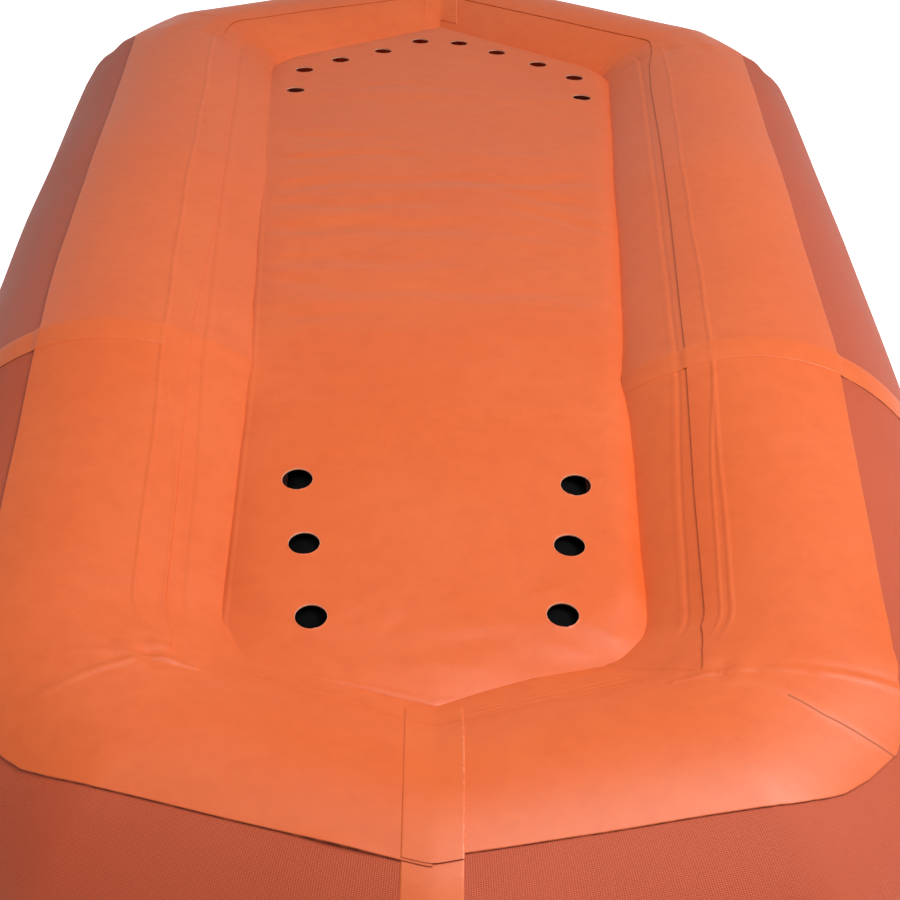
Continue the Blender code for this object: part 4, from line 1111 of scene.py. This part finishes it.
def backrest_piece():
    low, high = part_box("backrest")
    size = (high.x, (high.z - low.z) / 2, high.y - low.y)
    place = Matrix.Translation((0, low.y, (low.z + high.z) / 2))
    to_world = place @ Matrix.Rotation(-math.pi / 2, 4, "X")
    cushion_piece("back_cushion", "backrest", size, to_world, (0.0,))


def baffle_piece(side_name, side):
    """The diaphragm between two air chambers, bulged by their pressure."""
    low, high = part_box("baffle_" + side_name)
    run = BAND_RUN + (low.y + high.y) / 2 - hull_shift
    share, angle = grid(np.linspace(0, 1, 14), np.linspace(-math.pi, math.pi, 97)[:-1])
    rim = hull(np.full(share.shape, run), angle, -0.0016)
    middle = rim[-1].mean(axis=0)
    points = middle + (rim - middle) * share[..., None]
    points[..., 1] += 0.016 * (1 - share ** 2) + 0.0008 * share ** 4 * np.sin(angle * 24)
    piece("chamber_baffle_" + side_name, points, "woven_rust", ["baffle_" + side_name], side=side,
          uv=fabric_grid(run + share, angle), closed=True)


# Tie downs and springs


def square_to(bar, direction):
    """The direction's part at a right angle to the bar, one long."""
    return unit(direction - bar * (direction @ bar))


def tie_down(end, side_name, side):
    """A round cornered patch on the tube, the webbing loop sewn to it, and its wire ring."""
    place, bar = joint_place(end + "_" + side_name + "_ring_swing")
    run, x, rise, radius = [np.interp(place[1], STATIONS[2:6, 1], values)
                            for values in (RUNS[2:6], *STATIONS[2:6, [0, 2, 3]].T)]
    out = place - np.array((side * x, place[1], rise + radius * flat_share))
    out = square_to(bar, out)
    shares = np.array((0.0, 0.25, 0.5, 0.75, 0.9, 0.965, 0.985, 1.0))
    share, turn = grid(shares, turns_of(72))
    across = signed_power(np.cos(turn), 0.45)
    along = signed_power(np.sin(turn), 0.45)
    angle = math.atan2(out[0] * side, out[2]) + across * share * patch_half_width / radius
    rim = (1 - share) * patch_half_length
    points = hull(run + along * share * patch_half_length, angle, rim_lift(rim, patch_height))
    piece(end + "_patch_" + side_name, points, "seam_tape", [end + "_tie_down_patch_" + side_name],
          side=side, uv=fabric_grid(run + along, angle), closed=True,
          marks={"rim": rim, "strength": 0.5, "pale": 0.0}, flip=side > 0)
    webbing_loop(end + "_webbing_loop_" + side_name, place, bar, out)
    wire_ring(end, side_name, place, bar)


def webbing_loop(name, place, bar, out):
    """A strip of webbing over the ring's bar, its feet flat on the patch."""
    foot = loop_foot
    arch = [(math.cos(turn), math.sin(turn)) for turn in np.linspace(0, math.pi, 17)]
    inner_foot = ((0.022, foot), (0.0105, foot), (0.0052, foot + 0.0006))
    outer_foot = ((0.022, foot + 0.0012), (0.01, foot + 0.0012), (0.006, foot + 0.0022))
    lines = []
    for feet, radius in ((inner_foot, loop_inner), (outer_foot, loop_outer)):
        lines.append([*feet, *[(radius * c, radius * s) for c, s in arch], *[(-u, v) for u, v in feet[::-1]]])
    loop = lines[0] + lines[1][::-1]
    beside = np.cross(bar, out)
    rows = [[place + beside * u + out * (v - thin) + bar * step * loop_half_width for u, v in loop]
            for step, thin in ((-1.0, 0.0002), (-0.9, 0.0), (0.9, 0.0), (1.0, 0.0002))]
    piece(name, np.array(rows), "seam_tape", closed=True, caps=True)


def wire_ring(end, side_name, place, bar):
    """A bent wire ring, its straight bar in the loop."""
    down = square_to(bar, np.array((0, 0, -1.0)))
    across = np.cross(bar, down)
    path = [(ring_half_width * share, 0.0) for share in np.linspace(-0.9, 0.9, 9)]
    path += [(ring_half_width * math.cos(turn), ring_straight + ring_depth * math.sin(turn))
             for turn in np.linspace(0, math.pi, 29)]
    path = np.array(path)
    ahead = np.roll(path, -1, axis=0) - np.roll(path, 1, axis=0)
    ahead /= np.linalg.norm(ahead, axis=1, keepdims=True)
    rows = []
    for (u, v), (du, dv) in zip(path, ahead):
        outward = bar * dv - down * du
        rows.append(wire_round(place + bar * u + down * v, outward, across, ring_wire_radius, 16))
    rows.append(rows[0])
    piece(end + "_wire_ring_" + side_name, np.array(rows), "steel",
          [end + "_tie_down_ring_" + side_name], end + "_ring_" + side_name, closed=True)


def wire_round(middle, first, second, radius, count):
    return [middle + radius * (first * math.cos(turn) + second * math.sin(turn)) for turn in turns_of(count)]


def return_spring(end):
    """The wound wire under a valve's plunger."""
    place = joint_place(end + "_cap_turn")[0]
    axis = np.array(joint_row(end + "_plunger_push")["axis"], dtype=float)
    node = frame["nodes"][end + "_valve_spring"]
    corners = np.array([node.matrix_world @ vertex.co for vertex in node.data.vertices])
    along = (corners - shift - place) @ axis
    first, last = along.min(), along.max()
    across = unit(np.cross(axis, (0, 1, 0)))
    beside = np.cross(axis, across)
    turns = np.linspace(0, full_turn * spring_turns, 28 * spring_turns + 1)
    heights = np.linspace(first + spring_wire_radius, last - spring_wire_radius, len(turns))
    rows = []
    for turn, height in zip(turns, heights):
        out = across * math.cos(turn) + beside * math.sin(turn)
        middle = place + axis * height + out * spring_coil_radius
        rows.append(wire_round(middle, out, axis, spring_wire_radius, 8))
    thing = piece(end + "_return_spring", np.array(rows), "steel", [end + "_valve_spring"], closed=True,
                  caps=True)
    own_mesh(thing)


def dress_nodes():
    """The solids that stay are seen in their slot's material."""
    slots = {entry["node"]: entry["material_slot"] for entry in frame["record"]["subparts"]}
    for name, thing in frame["nodes"].items():
        for slot in thing.material_slots:
            slot.material = looks[slots[name]]


def main():
    for side_name, side in sides:
        for make in (tube_piece, wear_skin_piece, flange_piece, side_band):
            make(side_name, side)
    hole_rims(panel_piece())
    for end in ends:
        apex_tape(end)
        for side_name, side in sides:
            tie_down(end, side_name, side)
    mattress_piece()
    seat_piece()
    backrest_piece()
    for side_name, side in sides:
        baffle_piece(side_name, side)
    for end in (*ends, "floor"):
        return_spring(end)
    dress_nodes()


# Studio


def set_camera():
    data = bpy.data.cameras.new("photo_camera")
    data.lens = camera_lens
    data.sensor_width = sensor_width
    data.sensor_fit = "HORIZONTAL"
    data.clip_start = 0.05
    camera = in_scene("photo_camera", data)
    turn = Matrix((camera_right, camera_up, [-value for value in camera_forward])).transposed().to_4x4()
    camera.matrix_world = Matrix.Translation(Vector(camera_place) + Vector((0, hull_shift, 0))) @ turn
    scene.camera = camera


def area_light(name, place, target, size, power):
    data = bpy.data.lights.new(name, "AREA")
    data.shape = "RECTANGLE"
    data.size, data.size_y = size
    data.energy = power
    light = in_scene(name, data)
    light.location = place
    light.rotation_euler = (Vector(target) - Vector(place)).to_track_quat("-Z", "Y").to_euler()


def set_stage():
    """A white floor and room that look white, and light the hull less than they look."""
    mesh = bpy.data.meshes.new("studio_floor")
    corners = [(x * floor_reach, y * floor_reach, -floor_sink)
               for x, y in ((-1, -1), (1, -1), (1, 1), (-1, 1))]
    mesh.from_pydata(corners, [], [(0, 1, 2, 3)])
    n = material_nodes("studio_floor")
    glow = n.camera_sees(floor_glow, 1.0)
    mesh.materials.append(n.finish({"Base Color": (*[floor_grey] * 3, 1), "Roughness": 0.9,
                                    "Emission Color": (1, 1, 1, 1), "Emission Strength": glow}))
    in_scene("studio_floor", mesh)
    n = Nodes(bpy.data.worlds.new("studio"), "Background")
    scene.world = n.finish({"Color": (1, 1, 1, 1), "Strength": n.camera_sees(room_light, 1.0)})
    scene.view_settings.view_transform = "Standard"
    area_light("high_right", (1.8, -0.8, 2.8), (0, -0.3, 0.3), (1.5, 1.5), 68)
    area_light("top_light", (0.1, -0.95, 2.7), (0, -0.9, 0.3), (2.4, 1.3), 17)


set_camera()
set_stage()
main()
